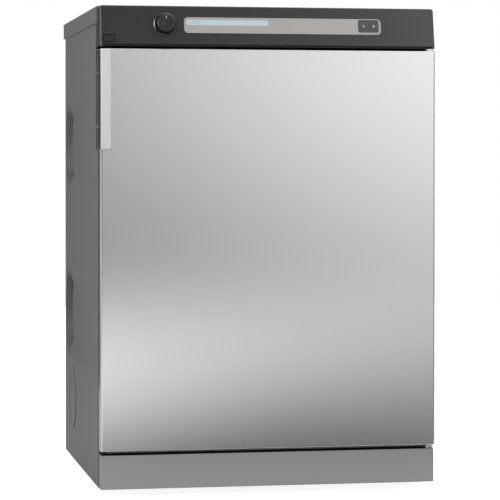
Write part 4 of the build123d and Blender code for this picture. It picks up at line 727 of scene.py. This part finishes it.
def soft_box(name, place, aim, width, height, watts):
    """Rectangular area lamp at place, facing aim, that the camera doesn't see."""
    data = bpy.data.lights.new(name, "AREA")
    data.shape = "RECTANGLE"
    data.size = width
    data.size_y = height
    data.energy = watts
    lamp = bpy.data.objects.new(name, data)
    bpy.context.scene.collection.objects.link(lamp)
    lamp.location = place
    lamp.rotation_euler = (Vector(aim) - Vector(place)).to_track_quat("-Z", "Y").to_euler()
    lamp.visible_camera = False
    print(name, watts, "W")


soft_box("left_box", (-2.4, -1.3, 1.95), (-0.2, 0.0, 0.6), width=0.3, height=0.9, watts=4.5)
soft_box("top_box", (0.3, -0.6, 2.8), (0.0, 0.0, 0.6), width=2.2, height=1.6, watts=18.0)

# %% [markdown]
# The other lights are cards that show in reflections only, because steel and gloss show what they face.

# %% Reflection cards


def reflection_card(name, place, turn, width, height):
    """Upright glowing card, turned round Z by degrees: its node tree and its emission shader."""
    bpy.ops.mesh.primitive_plane_add(size=1.0, location=place,
                                     rotation=(math.radians(90), 0, math.radians(turn)))
    card = bpy.context.object
    card.name = name
    card.scale = (width, height, 1.0)
    card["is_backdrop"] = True
    card.visible_camera = False
    card.visible_diffuse = False
    card.visible_shadow = False
    card.visible_transmission = False
    glow = bpy.data.materials.new(name + "_glow")
    glow.use_nodes = True
    tree = glow.node_tree
    tree.nodes.clear()
    shine = tree.nodes.new("ShaderNodeEmission")
    output = tree.nodes.new("ShaderNodeOutputMaterial")
    tree.links.new(shine.outputs["Emission"], output.inputs["Surface"])
    card.data.materials.append(glow)
    return tree, shine


# %% [markdown]
# Four soft patches of light on a large card in front of the door make the door's gradient. One is broad
# and stands on the right, a flat one lies low on the left, a weak one fills the left, and a narrow bright
# one stands high on the right, where the leaning fascia picks it up.

# %% Card in front of the door
CARD_DEPTH = -1.8035
tree, shine = reflection_card("door_card", (-0.1, CARD_DEPTH, 0.75), 0, width=3.0, height=3.4)
spot_place = tree.nodes.new("ShaderNodeNewGeometry").outputs["Position"]


def soft_patch(x, z, half_width, half_height, lean, strength):
    """Brightness of one elliptical patch that fades out from its middle. lean is in radians."""
    mapping = add_node(tree, "ShaderNodeMapping",
                       {"vector_type": "TEXTURE", "Location": (x, CARD_DEPTH, z),
                        "Rotation": (0, -lean, 0), "Scale": (half_width, 1, half_height)},
                       {"Vector": spot_place})
    reach = add_node(tree, "ShaderNodeVectorMath", {"operation": "LENGTH"},
                     {0: mapping.outputs["Vector"]})
    fade = add_node(tree, "ShaderNodeMapRange",
                    {"interpolation_type": "SMOOTHSTEP", "To Min": strength, "To Max": 0.0},
                    {"Value": reach.outputs["Value"]})
    return fade.outputs["Result"]


patches = [
    soft_patch(0.89, 0.86, 1.27, 1.45, lean=0.58, strength=1.38),
    soft_patch(-0.80, 0.019, 2.06, 0.305, lean=0.088, strength=1.6),
    soft_patch(-0.26, 0.89, 1.16, 1.38, lean=-0.47, strength=0.595),
    soft_patch(1.1, 1.85, 0.58, 1.85, lean=0.308, strength=5.2),
]
level = patches[0]
for patch in patches[1:]:
    level = add_node(tree, "ShaderNodeMath", {"operation": "ADD"}, {0: level, 1: patch}).outputs[0]
tree.links.new(level, shine.inputs["Strength"])
print("door card glows with", len(patches), "patches")

# %% [markdown]
# Four smaller cards stand round the machine. A dark one behind it on the left keeps the white background
# out of the sheen of the side panel, which the camera sees almost edge on. A grey one on the right does
# the same for the door's rounded edge. A bright one high on the left draws the light line down the
# fascia's left edge and the crescents on the knob and its collar. A pale one low on the left fills the
# rounded left edge of the door.

# %% Cards round the machine
# Name, place, turn in degrees, width and height in metres, strength
CARDS = (
    ("side_flag", (-1.4, 1.6, 0.6), 0, 2.1, 2.4, 0.14),
    ("right_flag", (1.3, 0.9, 0.6), 90, 2.8, 2.2, 0.7),
    ("edge_light", (-1.3, -1.2, 1.5), -50, 1.0, 0.9, 8.0),
    ("left_card", (-1.9, -1.1, 0.1), -60, 1.5, 1.1, 0.9),
)
for name, place, turn, width, height, strength in CARDS:
    _, shine = reflection_card(name, place, turn, width, height)
    shine.inputs["Strength"].default_value = strength
print(len(CARDS), "cards round the machine")

# %% [markdown]
# ## Finish
# The picture is shown as it is, with no film curve, and the dressed machine's sizes are printed.

# %% Finish
bpy.context.scene.view_settings.view_transform = "Standard"
low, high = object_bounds()
print("dressed machine", [round(upper - lower, 3) for lower, upper in zip(low, high)], "m")
